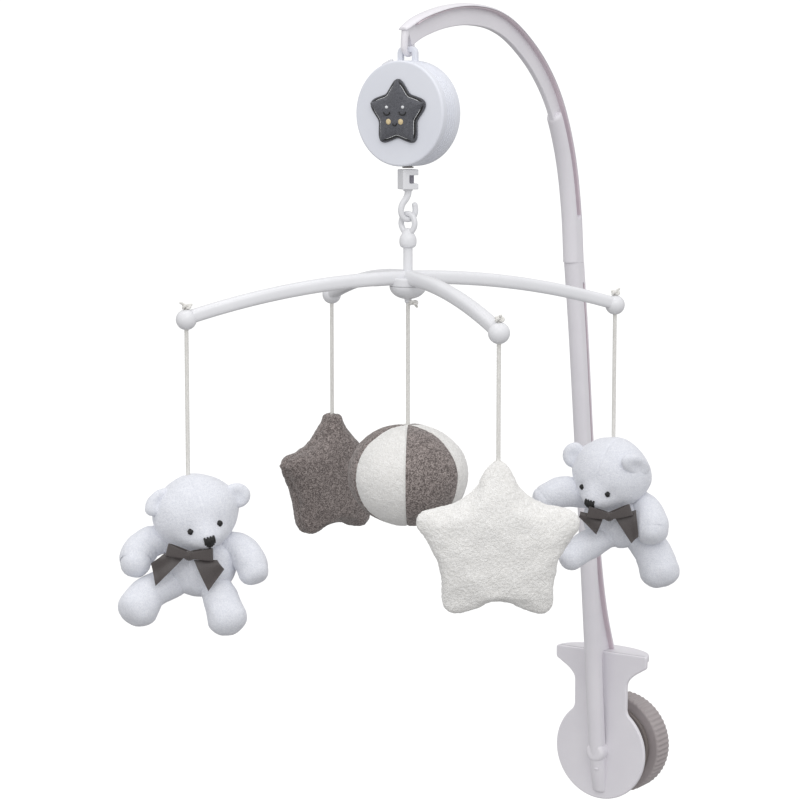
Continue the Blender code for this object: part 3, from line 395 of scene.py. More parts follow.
# smooth line through the points
def smoothLine(points, steps):
    points = [Vector(p) for p in points]
    line = []
    last = len(points) - 1
    for i in range(last):
        before, start = points[max(i - 1, 0)], points[i]
        end, after = points[i + 1], points[min(i + 2, last)]
        for k in range(steps):
            t = k / steps
            line.append(0.5 * (2 * start + (end - before) * t
                               + (2 * before - 5 * start + 4 * end - after) * t ** 2
                               + (3 * start - before - 3 * end + after) * t ** 3))
    line.append(points[-1])
    return line


# the outline with each corner rounded
def softened(points, reach, steps=4, closed=False):
    line = []
    count = len(points)
    for i, corner in enumerate(points):
        corner = Vector(corner)
        if not closed and i in (0, count - 1):
            line.append(corner)
            continue
        before, after = Vector(points[i - 1]) - corner, Vector(points[(i + 1) % count]) - corner
        cut = min(reach, 0.48 * before.length, 0.48 * after.length)
        start, end = corner + before.normalized() * cut, corner + after.normalized() * cut
        for k in range(steps + 1):
            t = k / steps
            line.append(start * (1 - t) ** 2 + corner * 2 * t * (1 - t) + end * t ** 2)
    return line


# the line moved to the left of its direction
def offsetLine(line, distance):
    moved = []
    for i, point in enumerate(line):
        along = (line[min(i + 1, len(line) - 1)] - line[max(i - 1, 0)]).normalized()
        moved.append(point + Vector((-along.y, along.x)) * distance)
    return moved


# the falling line, ended where it meets a level
def untilLevel(line, level):
    kept = []
    for here, ahead in zip(line, line[1:]):
        kept.append(here)
        if ahead.y <= level:
            kept.append(here.lerp(ahead, (here.y - level) / (here.y - ahead.y)))
            return kept
    return kept + [line[-1]]


# a profile of (radius, height) turned about Z
def turnedForm(profile, steps=96):
    bm = bmesh.new()
    line = [bm.verts.new((radius, 0, height)) for radius, height in profile]
    edges = [bm.edges.new(pair) for pair in zip(line, line[1:])]
    bmesh.ops.spin(bm, geom=line + edges, cent=(0, 0, 0), axis=(0, 0, 1), angle=2 * pi, steps=steps,
                   use_merge=True)
    bmesh.ops.remove_doubles(bm, verts=bm.verts[:], dist=weldGap)
    return bm


# a flat outline in local X-Y, thickened evenly about its plane
def slab(outline, thick):
    bm = bmesh.new()
    face = bm.faces.new([bm.verts.new((p[0], p[1], -thick / 2)) for p in outline])
    grown = bmesh.ops.extrude_face_region(bm, geom=[face, *face.edges])
    top = [g for g in grown["geom"] if isinstance(g, bmesh.types.BMVert)]
    bmesh.ops.translate(bm, vec=(0, 0, thick), verts=top)
    return bm


def bevelEdges(bm, edges, width, segments):
    bmesh.ops.bevel(bm, geom=edges, offset=width, segments=segments, profile=0.5, affect='EDGES',
                    material=-1, clamp_overlap=True)


def roundEdges(bm, width, segments=3, least=50.0):
    edges = [e for e in bm.edges if len(e.link_faces) == 2 and e.calc_face_angle(0) > radians(least)]
    bevelEdges(bm, edges, width, segments)
    return bm


def roundBar(radius, sides=24):
    return [(radius * cos(2 * pi * k / sides), radius * sin(2 * pi * k / sides)) for k in range(sides)]


# a rounded rectangle as a ring of points
def softBar(wide, deep, power=4.0, sides=32):
    ring = []
    for k in range(sides):
        c, s = cos(2 * pi * k / sides), sin(2 * pi * k / sides)
        size = (abs(c) ** power + abs(s) ** power) ** (-1 / power)
        ring.append((wide / 2 * size * c, deep / 2 * size * s))
    return ring


# a matrix at each point whose local Z runs along the path
def framesAlong(path, up=(0, 0, 1)):
    frames = []
    side = Vector(up)
    for i, point in enumerate(path):
        ahead = (path[min(i + 1, len(path) - 1)] - path[max(i - 1, 0)]).normalized()
        if i == 0:
            side = Vector(up).cross(ahead)
            if side.length < 0.1:
                side = Vector((1, 0, 0)).cross(ahead)
        side = (side - ahead * side.dot(ahead)).normalized()
        turn = Matrix((side, ahead.cross(side), ahead)).transposed().to_4x4()
        frames.append(Matrix.Translation(point) @ turn)
    return frames


# a closed bar whose rings are grown one from the next
def loft(matrices, ringAt):
    bm = bmesh.new()
    face = bm.faces.new([bm.verts.new(matrices[0] @ Vector((x, y, 0))) for x, y in ringAt(0)])
    for i in range(1, len(matrices)):
        grown = bmesh.ops.extrude_face_region(bm, geom=[face, *face.edges])
        face = [g for g in grown["geom"] if isinstance(g, bmesh.types.BMFace)][0]
        for vert, (x, y) in zip(face.verts, ringAt(i)):
            vert.co = matrices[i] @ Vector((x, y, 0))
    return bm


# a round bar along a path, with domed ends
def bar(path, radius, sides=20, sizeAt=None, domed=True):
    path = [Vector(p) for p in path]
    frames = framesAlong(path)
    sizes = [radius * (sizeAt(i / (len(path) - 1)) if sizeAt else 1.0) for i in range(len(path))]
    if domed:
        start, end = frames[0], frames[-1]
        fronts = [(0.96, 0.28), (0.72, 0.70), (0.35, 0.94)]
        caps = [(start @ Matrix.Translation((0, 0, -sizes[0] * out)), sizes[0] * size) for out,
                size in fronts]
        tips = [(end @ Matrix.Translation((0, 0, sizes[-1] * out)), sizes[-1] * size) for out,
                size in reversed(fronts)]
        frames = [m for m, s in caps] + frames + [m for m, s in tips]
        sizes = [s for m, s in caps] + sizes + [s for m, s in tips]
    return loft(frames, lambda i: roundBar(sizes[i], sides))


def ball(centre, radii, detail=4):
    bm = bmesh.new()
    bmesh.ops.create_icosphere(bm, subdivisions=detail, radius=1.0)
    bmesh.ops.scale(bm, vec=radii, verts=bm.verts[:])
    bmesh.ops.translate(bm, vec=centre, verts=bm.verts[:])
    return bm


# soft unevenness and fine pile, pushed out along the surface
def roughen(bm, lump, lumpSize, nap, napSize, seed):
    bm.normal_update()
    shift = Vector((seed * 3.1, seed * 1.7, seed * 2.3))
    moves = []
    for vert in bm.verts:
        spot = vert.co + shift
        push = lump * noise.noise(spot / lumpSize) + nap * noise.noise(spot / napSize)
        moves.append(vert.normal * push)
    for vert, move in zip(bm.verts, moves):
        vert.co += move
    return bm


# Strings, with three twisted plies

string = {"plies": 3, "pitch": 0.0060, "step": 0.0006, "lobe": 0.11, "sides": 24, "buried": 0.0028}


def makeString(side):
    low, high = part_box("string_" + side)
    width = high.x - low.x
    centre = (low + high) / 2
    start = Vector((centre.x, centre.y, high.z + string["buried"] * 0.5))
    end = Vector((centre.x, centre.y, low.z - string["buried"]))
    count = int((start - end).length / string["step"])
    frames = framesAlong([start.lerp(end, i / count) for i in range(count + 1)])
    turn = 2 * pi * string["step"] / string["pitch"]

    def ring(i):
        points = []
        for k in range(string["sides"]):
            angle = 2 * pi * k / string["sides"]
            radius = width / 2 * (1 - string["lobe"] + 2 * string["lobe"]
                                  * abs(cos(string["plies"] / 2 * (angle - i * turn))) ** 0.8)
            points.append((radius * cos(angle), radius * sin(angle)))
        return points

    piece = addPiece("string_cord_" + side, loft(frames, ring), "string_" + side, "cotton",
                     ["string_" + side], even=False)
    return piece


for side in armSides + ("centre",):
    makeString(side)
print("strings made")


# Stand: two moulded halves of the arm, each a web with flanges

arm = {"width": 0.013, "web": 0.0045, "depth": 0.0168, "flange": 0.0036, "rail": 0.0078, "seam": 0.0003,
       "nose": 0.0060,
       "edge": [(-0.3045, 0.5475), (-0.2835, 0.5563), (-0.2500, 0.5640), (-0.2150, 0.5666),
                (-0.1800, 0.5630),
                (-0.1480, 0.5510), (-0.1125, 0.5272), (-0.0845, 0.4960), (-0.0646, 0.4546),
                (-0.0535, 0.4080),
                (-0.0485, 0.3576), (-0.0470, 0.3400)],
       "railStart": 0.66, "recessEnd": 0.402}
post = {"front": [(-0.0664, 0.3750), (-0.0562, 0.3050), (-0.0460, 0.2200), (-0.0385, 0.1550),
                  (-0.0300, 0.0800),
                  (-0.0228, 0.0150), (-0.0180, -0.0300), (-0.0148, -0.0560), (-0.0105, -0.0800),
                  (-0.0078, -0.0905)],
        "rear": [(-0.0506, 0.3750), (-0.0408, 0.3050), (-0.0308, 0.2200), (-0.0222, 0.1600),
                 (-0.0130, 0.1050),
                 (-0.0030, 0.0650), (0.0105, 0.0295)],
        "rail": 0.0107, "flange": 0.0026, "recessTop": 0.346}
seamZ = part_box("lower_post")[1].z + arm["seam"]


# a bar between two lines of the Y-Z plane, rounded more on the edges that run along the first line
def sideBar(first, second, width, rounding, segments=5, cornerWidth=0.0007):
    outline = list(first) + list(reversed(second))
    bm = slab(outline, width)
    crown = set((round(p[0], 6), round(p[1], 6)) for p in first)

    def runsAlong(edge):
        ends = [(round(v.co.x, 6), round(v.co.y, 6)) for v in edge.verts]
        return ends[0] in crown and ends[1] in crown and ends[0] != ends[1]

    def liesFlat(edge):
        return abs(edge.verts[0].co.z - edge.verts[1].co.z) < 0.0001

    wide = [e for e in bm.edges if liesFlat(e) and runsAlong(e)]
    bevelEdges(bm, wide, rounding, segments)
    if cornerWidth:
        level = width / 2 - 0.00001
        rest = [e for e in bm.edges if len(e.link_faces) == 2 and e.calc_face_angle(0) > radians(60)
                and abs(abs(e.verts[0].co.z) - level) < 0.00002
                and abs(abs(e.verts[1].co.z) - level) < 0.00002]
        bevelEdges(bm, rest, cornerWidth, 2)
    bmesh.ops.transform(bm, matrix=sidePlane, verts=bm.verts[:])
    return bm


# a half-round recess end between two points of a section
def archBetween(left, right, level, downwards):
    centre = (left + right) / 2
    radius = (right - left).length / 2
    sign = -1 if downwards else 1
    return [centre + Vector((-cos(pi * k / 10) * radius,
                             level - centre.y + sign * sin(pi * k / 10) * radius))
            for k in range(11)]


# where a falling line passes a level
def pointAt(line, level):
    for here, ahead in zip(line, line[1:]):
        if ahead.y <= level < here.y:
            return here.lerp(ahead, (here.y - level) / (here.y - ahead.y))
    return line[-1]


# bar down a line of the Y-Z plane: half round on the line, flat behind it, shrunk to its back at a
# capped end
def rail(line, wide, nose, deep, side, capped=(False, False)):
    last = len(line) - 1
    frames, sizes = [], []
    for i, point in enumerate(line):
        along = (line[min(i + 1, last)] - line[max(i - 1, 0)]).normalized()
        inward = Vector((-along.y, along.x)) * side
        turn = Matrix(((-side, 0, 0), (0, inward.x, inward.y), (0, along.x, along.y))).transposed().to_4x4()
        frames.append(Matrix.Translation((0, point.x, point.y)) @ turn)
        across = wide(i / last) if callable(wide) else wide
        sizes.append([across, nose, deep(point, inward) if callable(deep) else deep, 1.0])
    caps = [(sin(pi / 2 * k / 8), cos(pi / 2 * k / 8)) for k in range(1, 8)]
    if capped[1]:
        end, (w, n, d) = frames[-1], sizes[-1][:3]
        for out, size in caps:
            frames.append(end @ Matrix.Translation((0, 0, 0.6 * d * out)))
            sizes.append([w * (0.8 + 0.2 * size), n, d, size])
    if capped[0]:
        start, (w, n, d) = frames[0], sizes[0][:3]
        for out, size in caps:
            frames.insert(0, start @ Matrix.Translation((0, 0, -0.6 * d * out)))
            sizes.insert(0, [w * (0.8 + 0.2 * size), n, d, size])

    def ring(i):
        w, n, d, full = sizes[i]
        points = [(w / 2 * cos(a), n * (1 - sin(a))) for a in (pi - pi * k / 20 for k in range(21))]
        points += [(w / 2, d - 0.0005), (w / 2 - 0.0005, d), (0.0005 - w / 2, d), (-w / 2, d - 0.0005)]
        return [(x, d - (d - y) * full) for x, y in points]

    return loft(frames, ring)


def makeUpperArm():
    edge = smoothLine(arm["edge"], 14)
    inner = offsetLine(edge, -arm["depth"])
    under = offsetLine(edge, -arm["flange"])
    bm = bmesh.new()
    outer = untilLevel(edge, seamZ)

    def width(t):
        return arm["width"] * (0.60 + 0.40 * min(1.0, t / 0.16) ** 0.7)

    blend(bm, rail(outer, width, 0.0022, arm["flange"] - 0.0012, -1, (True, False)))
    # a thin strip on the flange's inner face in the second material: painted shade in the groove
    paintedShadeStrip = untilLevel(offsetLine(edge, 0.0012 - arm["flange"]), seamZ)[8:]
    blend(bm, rail(paintedShadeStrip, arm["width"] - 0.0006, 0.0004, 0.0012, -1), shade=1)
    web = untilLevel(offsetLine(edge, -arm["flange"] * 0.6), seamZ)[2:]
    webInner = untilLevel(offsetLine(edge, -arm["depth"] + 0.0004), seamZ)[2:]
    blend(bm, sideBar(webInner, web, arm["web"], 0.0009, 3, 0))
    first = int(len(edge) * arm["railStart"])
    railOuter = untilLevel(offsetLine(edge, -arm["depth"] + arm["rail"]), seamZ)[first:]
    blend(bm, rail(untilLevel(inner, seamZ)[first:], arm["width"], arm["nose"], arm["rail"], 1,
                   (True, False)))
    left = pointAt(offsetLine(edge, -arm["depth"] + 0.0060), arm["recessEnd"])
    right = pointAt(edge, arm["recessEnd"])
    right = right + (left - right).normalized() * 0.0012
    low = [untilLevel(offsetLine(edge, -arm["depth"] + 0.0060), seamZ)[-1],
           untilLevel(offsetLine(edge, -0.0012), seamZ)[-1]]
    top = archBetween(pointAt(railOuter, arm["recessEnd"]), pointAt(under, arm["recessEnd"]),
                      arm["recessEnd"], True)
    blend(bm, sideBar([left] + top + [right], low, arm["width"] - 0.0004, 0.0005, 2, 0))
    makeHook(bm)
    return addPiece("upper_arm_moulding", bm, "stand", "stand", ["upper_arm"],
                    second="recessShade")


# the finger under the tip that the music box hangs on, its curl at the bottom
def makeHook(bm):
    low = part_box("front_cover")[1].z
    bend = 0.0050
    line = [(0, hang.y - 0.0030, 0.5455), (0, hang.y - 0.0036, 0.5420), (0, hang.y - 0.0046, 0.5375),
            (0, hang.y - bend, 0.5325)]
    for step in range(1, 13):
        angle = pi + step * pi / 12
        line.append((0, hang.y + bend * cos(angle), low - 0.0003 + bend * sin(angle)))
    line.append((0, hang.y + bend, line[-1][2] + 0.0026))
    smooth = smoothLine(line, 4)
    blend(bm, bar(smooth, 0.0020, 22, lambda t: 1.50 - 0.50 * min(1.0, t / 0.40)))


def makeLowerPost():
    front = smoothLine(post["front"], 14)
    rear = smoothLine(post["rear"], 14)
    level = seamZ - arm["seam"]
    frontCut = [pointAt(front, level)] + [p for p in front if p.y < level]
    rearCut = [pointAt(rear, level)] + [p for p in rear if p.y < level]
    railBack = offsetLine(front, post["rail"])
    flangeIn = offsetLine(rear, -post["flange"])

    def depth(point, inward):
        return min(post["rail"], (-0.0010 - point.x) / inward.x)

    bm = bmesh.new()
    blend(bm, rail(frontCut, arm["width"], arm["nose"], depth, 1, (False, True)))
    blend(bm, rail(rearCut, arm["width"], 0.0010, post["flange"] - 0.0010, -1))
    # a thin strip on the flange's inner face in the second material: painted shade in the groove
    paintedShadeStrip = [p for p in offsetLine(rear, 0.0010 - post["flange"]) if p.y < level - 0.001]
    blend(bm, rail(paintedShadeStrip, arm["width"] - 0.0006, 0.0003, 0.0010, -1), shade=1)
    webFront = [p for p in offsetLine(front, post["rail"] * 0.5) if p.y < level - 0.004 and p.x < -0.0018]
    webRear = [p for p in offsetLine(rear, -0.0016) if p.y < level - 0.004]
    foot = [Vector((-0.0010, webRear[-1].y)), Vector((-0.0010, webFront[-1].y))]
    blend(bm, sideBar(webFront, webRear + foot, arm["web"], 0.0004, 2, 0))
    frontSide = [pointAt(offsetLine(front, 0.0062), z) for z in (level, post["recessTop"])]
    rearSide = [pointAt(offsetLine(rear, -0.0010), z) for z in (level, post["recessTop"])]
    arch = archBetween(pointAt(railBack, post["recessTop"]), pointAt(flangeIn, post["recessTop"]),
                       post["recessTop"], False)
    blend(bm, sideBar([frontSide[1]] + arch + [rearSide[1]], [frontSide[0], rearSide[0]],
                      arm["width"] - 0.0004,
                      0.0005, 2, 0))
    addClampPlate(bm)
    return addPiece("lower_post_moulding", bm, "stand", "stand", ["lower_post"],
                    second="recessShade")


plate = {"thick": 0.004, "disc": 0.0425, "neck": 0.025, "ledge": 0.0435, "fillet": 0.009, "screw": -0.056,
         "ledgeLow": 0.0240, "ledgeTop": 0.0305, "back": 0.024,
         "ear": [(0.0250, -0.0290), (0.0256, -0.0250), (0.0280, -0.0212), (0.0325, -0.0172),
                 (0.0380, -0.0138)]}


def alongScrew(y):
    return Matrix.Translation((0, y, plate["screw"])) @ Matrix.Rotation(-pi / 2, 4, 'X')


# right half of the banjo-shaped plate, bottom to top, then mirrored
def plateOutline():
    reach = plate["neck"] + plate["fillet"]
    meet = sqrt((plate["disc"] + plate["fillet"]) ** 2 - reach ** 2)
    start = atan2(meet, reach)
    half = []
    for step in range(49):
        angle = -pi / 2 + (start + pi / 2) * step / 48
        half.append((plate["disc"] * cos(angle), plate["screw"] + plate["disc"] * sin(angle)))
    for step in range(1, 13):
        angle = pi + start - start * step / 12
        half.append((reach + plate["fillet"] * cos(angle),
                     plate["screw"] + meet + plate["fillet"] * sin(angle)))
    half += [(p.x, plate["ledgeTop"] + p.y) for p in smoothLine(plate["ear"], 6)]
    tip = [Vector((plate["ledge"] - 0.004, plate["ledgeTop"] - 0.0127)),
           Vector((plate["ledge"], plate["ledgeTop"] - 0.0105)),
           Vector((plate["ledge"], plate["ledgeTop"])), Vector((plate["ledge"] - 0.006, plate["ledgeTop"]))]
    half += [tuple(p) for p in softened(tip, 0.0024, 6)]
    return half + [(-x, z) for x, z in reversed(half[1:])]


def addClampPlate(bm):
    face = slab(plateOutline(), plate["thick"])
    roundEdges(face, 0.0012, 4)
    blend(bm, face, frontPlane(-plate["thick"] / 2))
    half = plate["ledge"] - 0.0010
    outline = [(-half, -0.0030), (half, -0.0030)]
    for step in range(33):
        angle = pi * step / 32
        outline.append((half * cos(angle), plate["back"] * sin(angle)))
    outline = softened([Vector(p) for p in outline], 0.002, 3, closed=True)
    ledge = slab(outline, plate["ledgeTop"] - plate["ledgeLow"] - 0.0004)
    roundEdges(ledge, 0.0016, 4, 40)
    blend(bm, ledge, Matrix.Translation((0, 0, (plate["ledgeTop"] + plate["ledgeLow"]) / 2 + 0.0002)))
    boss = turnedForm([(0, -0.0134)] + [tuple(p) for p in softened(
        [(0.0001, -0.0134), (0.0085, -0.0134), (0.0085, 0.0)], 0.0042, 8)] + [(0, 0.0)], 64)
    flip = alongScrew(-0.0010)
    blend(bm, boss, flip)
    blend(bm, ball((0.0020, -0.0128, -0.0700), (0.0022, 0.0006, 0.0010), 3))


knob = {"radius": 0.0425, "ribs": 60, "rib": 0.0005, "dish": 0.033, "dishFloor": 0.0100}


def makeKnob():
    low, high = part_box("clamp_knob")
    depth = high.y - low.y
    place = alongScrew(low.y)
    stages = [(0.0, -0.0022, 0), (0.0003, -0.0011, 0.2), (0.0011, -0.0003, 0.6), (0.0024, 0, 1)]
    stages += [(depth - 0.0036, 0, 1), (depth - 0.0020, -0.0004, 0.6), (depth - 0.0007, -0.0016, 0.2),
               (depth, -0.0034, 0), (depth, knob["dish"] + 0.002 - knob["radius"], 0),
               (depth - 0.0010, knob["dish"] - knob["radius"], 0),
               (knob["dishFloor"] + 0.002, 0.0305 - knob["radius"], 0),
               (knob["dishFloor"], 0.0285 - knob["radius"], 0)]
    sides = knob["ribs"] * 6

    def ring(i):
        shrink, ribbed = stages[i][1:]
        points = []
        for k in range(sides):
            angle = -2 * pi * k / sides
            radius = knob["radius"] + shrink + ribbed * knob["rib"] * cos(knob["ribs"] * angle)
            points.append((radius * cos(angle), radius * sin(angle)))
        return points

    bm = loft([place @ Matrix.Translation((0, 0, s[0])) for s in stages], ring)
    hub = turnedForm([(0.0053, 0.006)] + [tuple(p) for p in softened(
        [(0.0053, depth - 0.001), (0.0060, depth), (0.0120, depth), (0.0128, 0.008)], 0.0012, 5)]
        + [(0.0128, 0.006), (0.0053, 0.006)], 64)
    blend(bm, hub, place)
    for step in range(6):
        web = slab([(0.0115, -0.0008), (0.0300, -0.0008), (0.0300, 0.0008), (0.0115, 0.0008)], 0.0100)
        roundEdges(web, 0.0004, 2)
        turn = Matrix.Rotation(step * pi / 3, 4, 'Z') @ Matrix.Translation((0, 0, 0.0145))
        blend(bm, web, place @ turn)
    return addPiece("clamp_knob_moulding", bm, "clamp_knob", "knob", ["clamp_knob"])


# screw with a rolled thread behind the plate, and its pressure pad
def makeClampScrew():
    low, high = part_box("clamp_screw")
    radius, pitch, steps = 0.0050, 0.0030, 28
    turns = int((high.y - 0.003) / pitch)
    place = alongScrew(0)
    count = turns * 8

    def ring(i):
        points = []
        for k in range(steps):
            angle = 2 * pi * k / steps
            wave = (i / 8 - k / steps) % 1.0
            size = radius - 0.0009 * abs(2 * wave - 1) if 2 < i < count - 3 else radius - 0.0011
            points.append((size * cos(angle), size * sin(angle)))
        return points

    bm = loft([place @ Matrix.Translation((0, 0, 0.0010 + (high.y - 0.001) * i / count))
               for i in range(count + 1)], ring)
    blend(bm, turnedForm([(0, low.y + 0.0002), (0.0058, low.y + 0.0002), (0.0063, low.y + 0.0010),
                          (0.0063, -0.0102),
                          (0.0048, -0.0100), (0.0048, 0.0012), (0, 0.0012)], 40), place)
    return addPiece("clamp_screw_steel", bm, "stand", "steel", ["clamp_screw"], sharp=50)


def makePad():
    low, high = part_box("clamp_pad")
    thick = high.y - low.y
    section = [(0.0054, thick), (0.0250, thick), (0.0340, thick - 0.0008), (0.0340, 0.0008), (0.0332, 0.0)]
    grooves = []
    for ringAt in (0.030, 0.024, 0.018, 0.012):
        grooves += [(ringAt + 0.0012, 0.0), (ringAt + 0.0006, 0.0007), (ringAt - 0.0006, 0.0007),
                    (ringAt - 0.0012, 0.0)]
    profile = section + grooves + [(0.0054, 0.0), (0.0054, thick)]
    bm = turnedForm(profile, 96)
    place = alongScrew(low.y)
    bmesh.ops.transform(bm, matrix=place, verts=bm.verts[:])
    return addPiece("clamp_pad_rubber", bm, "clamp_pad", "rubber", ["clamp_pad"])


makeUpperArm()
makeLowerPost()
makeKnob()
makeClampScrew()
makePad()
print("stand and clamp made")


# Music box

def onCase(y):
    return Matrix.Translation((0, 0, case["z"])) @ frontPlane(y)


cover = {"wall": 0.0018, "front": 0.017, "rim": 0.0026, "groove": 0.0010, "grooves": 4}


# half section of a cover: closed face at height 0, open end below it
def cupProfile(depth, grooved):
    radius, wall = case["radius"], cover["wall"]
    rim = [tuple(p) for p in softened([(radius - cover["rim"] * 1.5, 0), (radius, 0),
                                       (radius, -cover["rim"] * 1.5)],
                                      cover["rim"], 8)]
    side = []
    if grooved:
        gap = (depth - cover["rim"] * 1.6) / (cover["grooves"] + 1)
        for row in range(1, cover["grooves"] + 1):
            height = -cover["rim"] * 1.6 - gap * row
            side += [(radius, height + 0.0008), (radius - cover["groove"], height),
                     (radius, height - 0.0008)]
    return ([(0, 0), (radius * 0.4, 0)] + rim + side + [(radius, -depth + 0.0004),
                                                        (radius - 0.0004, -depth),
            (radius - wall, -depth), (radius - wall, -cover["rim"]), (radius - cover["rim"], -wall),
                                                        (0, -wall)])


def caseMatrix(y, towards):
    return Matrix.Translation((hang.x, y, case["z"])) @ Matrix.Rotation(-towards * pi / 2, 4, 'X')


def makeFrontCover():
    bm = turnedForm(cupProfile(cover["front"], True), 160)
    bmesh.ops.transform(bm, matrix=caseMatrix(case["front"], -1), verts=bm.verts[:])
    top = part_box("front_cover")[1].z
    foot = case["z"] + case["radius"] - 0.0018
    line = softened([Vector((-0.0062, hang.y, foot)), Vector((-0.0062, hang.y, top - 0.0018)),
                     Vector((0.0062, hang.y, top - 0.0018)), Vector((0.0062, hang.y, foot))], 0.0030, 8)
    frames = framesAlong(line, (0, 1, 0))
    blend(bm, loft(frames, lambda i: softBar(0.0044, 0.0036, 5.0, 28)))
    base = slab([(-0.0085, -0.0030), (0.0085, -0.0030), (0.0085, 0.0030), (-0.0085, 0.0030)], 0.0026)
    roundEdges(base, 0.0008, 3)
    blend(bm, base, Matrix.Translation((0, hang.y, foot + 0.0004)))
    return addPiece("front_cover_moulding", bm, "music_box", "case", ["front_cover"])


def makeRearCover():
    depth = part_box("rear_cover")[1].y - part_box("rear_cover")[0].y
    bm = turnedForm(cupProfile(depth, False), 160)
    bmesh.ops.transform(bm, matrix=caseMatrix(case["back"], 1), verts=bm.verts[:])
    collar = turnedForm([tuple(p) for p in softened([(0.0064, -0.001), (0.0064, 0.0003), (0.0050, 0.0003),
                                                     (0.0050, -0.001), (0.0064, -0.001)], 0.0002, 2)], 48)
    blend(bm, collar, caseMatrix(case["back"], 1) @ Matrix.Translation((middle("wind_key").x, 0, 0)))
    slots = 5
    for row in range(slots):  # raised ribs over the sound holes
        rib = slab([(-0.0090, -0.0006), (0.0090, -0.0006), (0.0090, 0.0006), (-0.0090, 0.0006)], 0.0009)
        roundEdges(rib, 0.00025, 2)
        place = frontPlane(case["back"] + 0.0002) @ Matrix.Translation((-0.0160, 0, 0))
        blend(bm, rib, Matrix.Translation((0, 0, case["z"] + (row - 2) * 0.0030)) @ place)
    return addPiece("rear_cover_moulding", bm, "music_box", "case", ["rear_cover"])


def makeCaseScrew(key):
    spot = middle("cover_screw_" + key)
    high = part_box("cover_screw_" + key)[1].y
    head = [tuple(p) for p in softened([(0.0012, -0.0012), (0.0012, 0.0), (0.0027, 0.0), (0.0027, -0.0010),
                                        (0.0013, -0.0016), (0.0013, -0.0120)], 0.0006, 4)]
    bm = turnedForm([(0, -0.0012)] + head + [(0, -0.0120)], 32)
    place = Matrix.Translation((spot.x, high, spot.z)) @ Matrix.Rotation(-pi / 2, 4, 'X')
    bmesh.ops.transform(bm, matrix=place, verts=bm.verts[:])
    return addPiece("case_screw_" + key, bm, "music_box", "steel", ["cover_screw_" + key])


# stop slider on the rim: a low pad with three grip ridges
def makeSlider():
    low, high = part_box("stop_switch")
    spot = (low + high) / 2
    lean = atan2(spot.z - case["z"], spot.x - hang.x)
    place = Matrix.Translation((hang.x, spot.y, case["z"])) @ Matrix.Rotation(pi / 2 - lean, 4, 'Y')
    outline = softened([Vector((-0.0046, -0.0018)), Vector((0.0046, -0.0018)), Vector((0.0046, 0.0018)),
                        Vector((-0.0046, 0.0018))], 0.0007, 4, closed=True)
    bm = bmesh.new()
    body = slab(outline, 0.0058)
    roundEdges(body, 0.0006, 3, 40)
    blend(bm, body, place @ Matrix.Translation((0, 0, case["radius"] + 0.0002)))
    for step in (-1, 0, 1):
        ridge = [(step * 0.0022, -0.0014, 0), (step * 0.0022, 0.0014, 0)]
        blend(bm, bar(ridge, 0.0004, 12), place @ Matrix.Translation((0, 0, case["radius"] + 0.0031)))
    return addPiece("stop_slider", bm, "stop_switch", "crown", ["stop_switch"])


def makeWindKey():
    low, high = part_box("wind_key")
    x = (low.x + high.x) / 2
    back = case["back"] + 0.0006
    place = Matrix.Translation((x, back, case["z"])) @ Matrix.Rotation(-pi / 2, 4, 'X')
    bm = bmesh.new()
    stem = [(0.0026, 0.0110), (0.0026, 0.0052), (0.0050, 0.0048), (0.0050, 0.0), (0.0026, 0.0),
            (0.0026, -0.0026)]
    blend(bm, turnedForm([(0, 0.0110)] + [tuple(p) for p in softened(stem, 0.0006, 3)] + [(0, -0.0026)],
                         40), place)
    outline = []
    for step in range(72):
        angle = 2 * pi * step / 72
        size = 0.0062 + 0.0068 * abs(cos(angle)) ** 1.5
        outline.append((size * cos(angle), size * sin(angle) * 0.62 + 0.0115))
    wings = slab(outline, 0.0030)
    roundEdges(wings, 0.0010, 4)
    blend(bm, wings, Matrix.Translation((x, back, case["z"])))
    return addPiece("wind_key_moulding", bm, "wind_key", "crown", ["wind_key"])


def makeShaft():
    low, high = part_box("output_shaft")
    bm = turnedForm([(0, high.z), (0.0015, high.z), (0.0015, low.z), (0, low.z)], 32)
    bmesh.ops.translate(bm, vec=(hang.x, hang.y, 0), verts=bm.verts[:])
    return addPiece("output_shaft_steel", bm, "output_shaft", "shaft", ["output_shaft"])


# Star badge: stitched felt, padded, with a plain sleeping face

badge = {"base": 0.0288, "pad": 0.0252, "inner": 0.60, "stitch": 0.0262, "puff": 0.0040}


def starOutline(radius, inner, steps, roundness, notch=1.25):
    corners = []
    for i in range(10):
        angle = pi / 2 + i * pi / 5
        ratio = inner if isinstance(inner, float) else inner[i // 2]
        size = radius if i % 2 == 0 else radius * ratio
        corners.append(Vector((size * cos(angle), size * sin(angle))))
    line = []
    for i, corner in enumerate(corners):
        before, after = corners[i - 1] - corner, corners[(i + 1) % 10] - corner
        reach = roundness * radius * (1.25 if i % 2 == 0 else notch)
        start, end = corner + before.normalized() * reach, corner + after.normalized() * reach
        for k in range(steps + 1):
            t = k / steps
            line.append(start * (1 - t) ** 2 + corner * 2 * t * (1 - t) + end * t ** 2)
    return line


# the closed outline walked at even steps
def evenly(line, gap):
    points = []
    left = 0.0
    for here, ahead in zip(line, line[1:] + line[:1]):
        length = (ahead - here).length
        while left < length:
            points.append(here.lerp(ahead, left / length))
            left += gap
        left -= length
    return points


# height of the padded star above the felt, from the distance to its outline
def padHeight(x, z):
    angle = atan2(z, x) - pi / 2
    sector = abs(((angle + pi / 5) % (2 * pi / 5)) - pi / 5)
    size = sqrt(x * x + z * z)
    tip, notch = badge["pad"], badge["pad"] * badge["inner"]
    edge = tip * notch * sin(pi / 5) / (tip * sin(sector) + notch * sin(pi / 5 - sector))
    ratio = min(1.0, size / edge)
    return badge["puff"] * (1 - ratio ** 3.2) ** 0.6


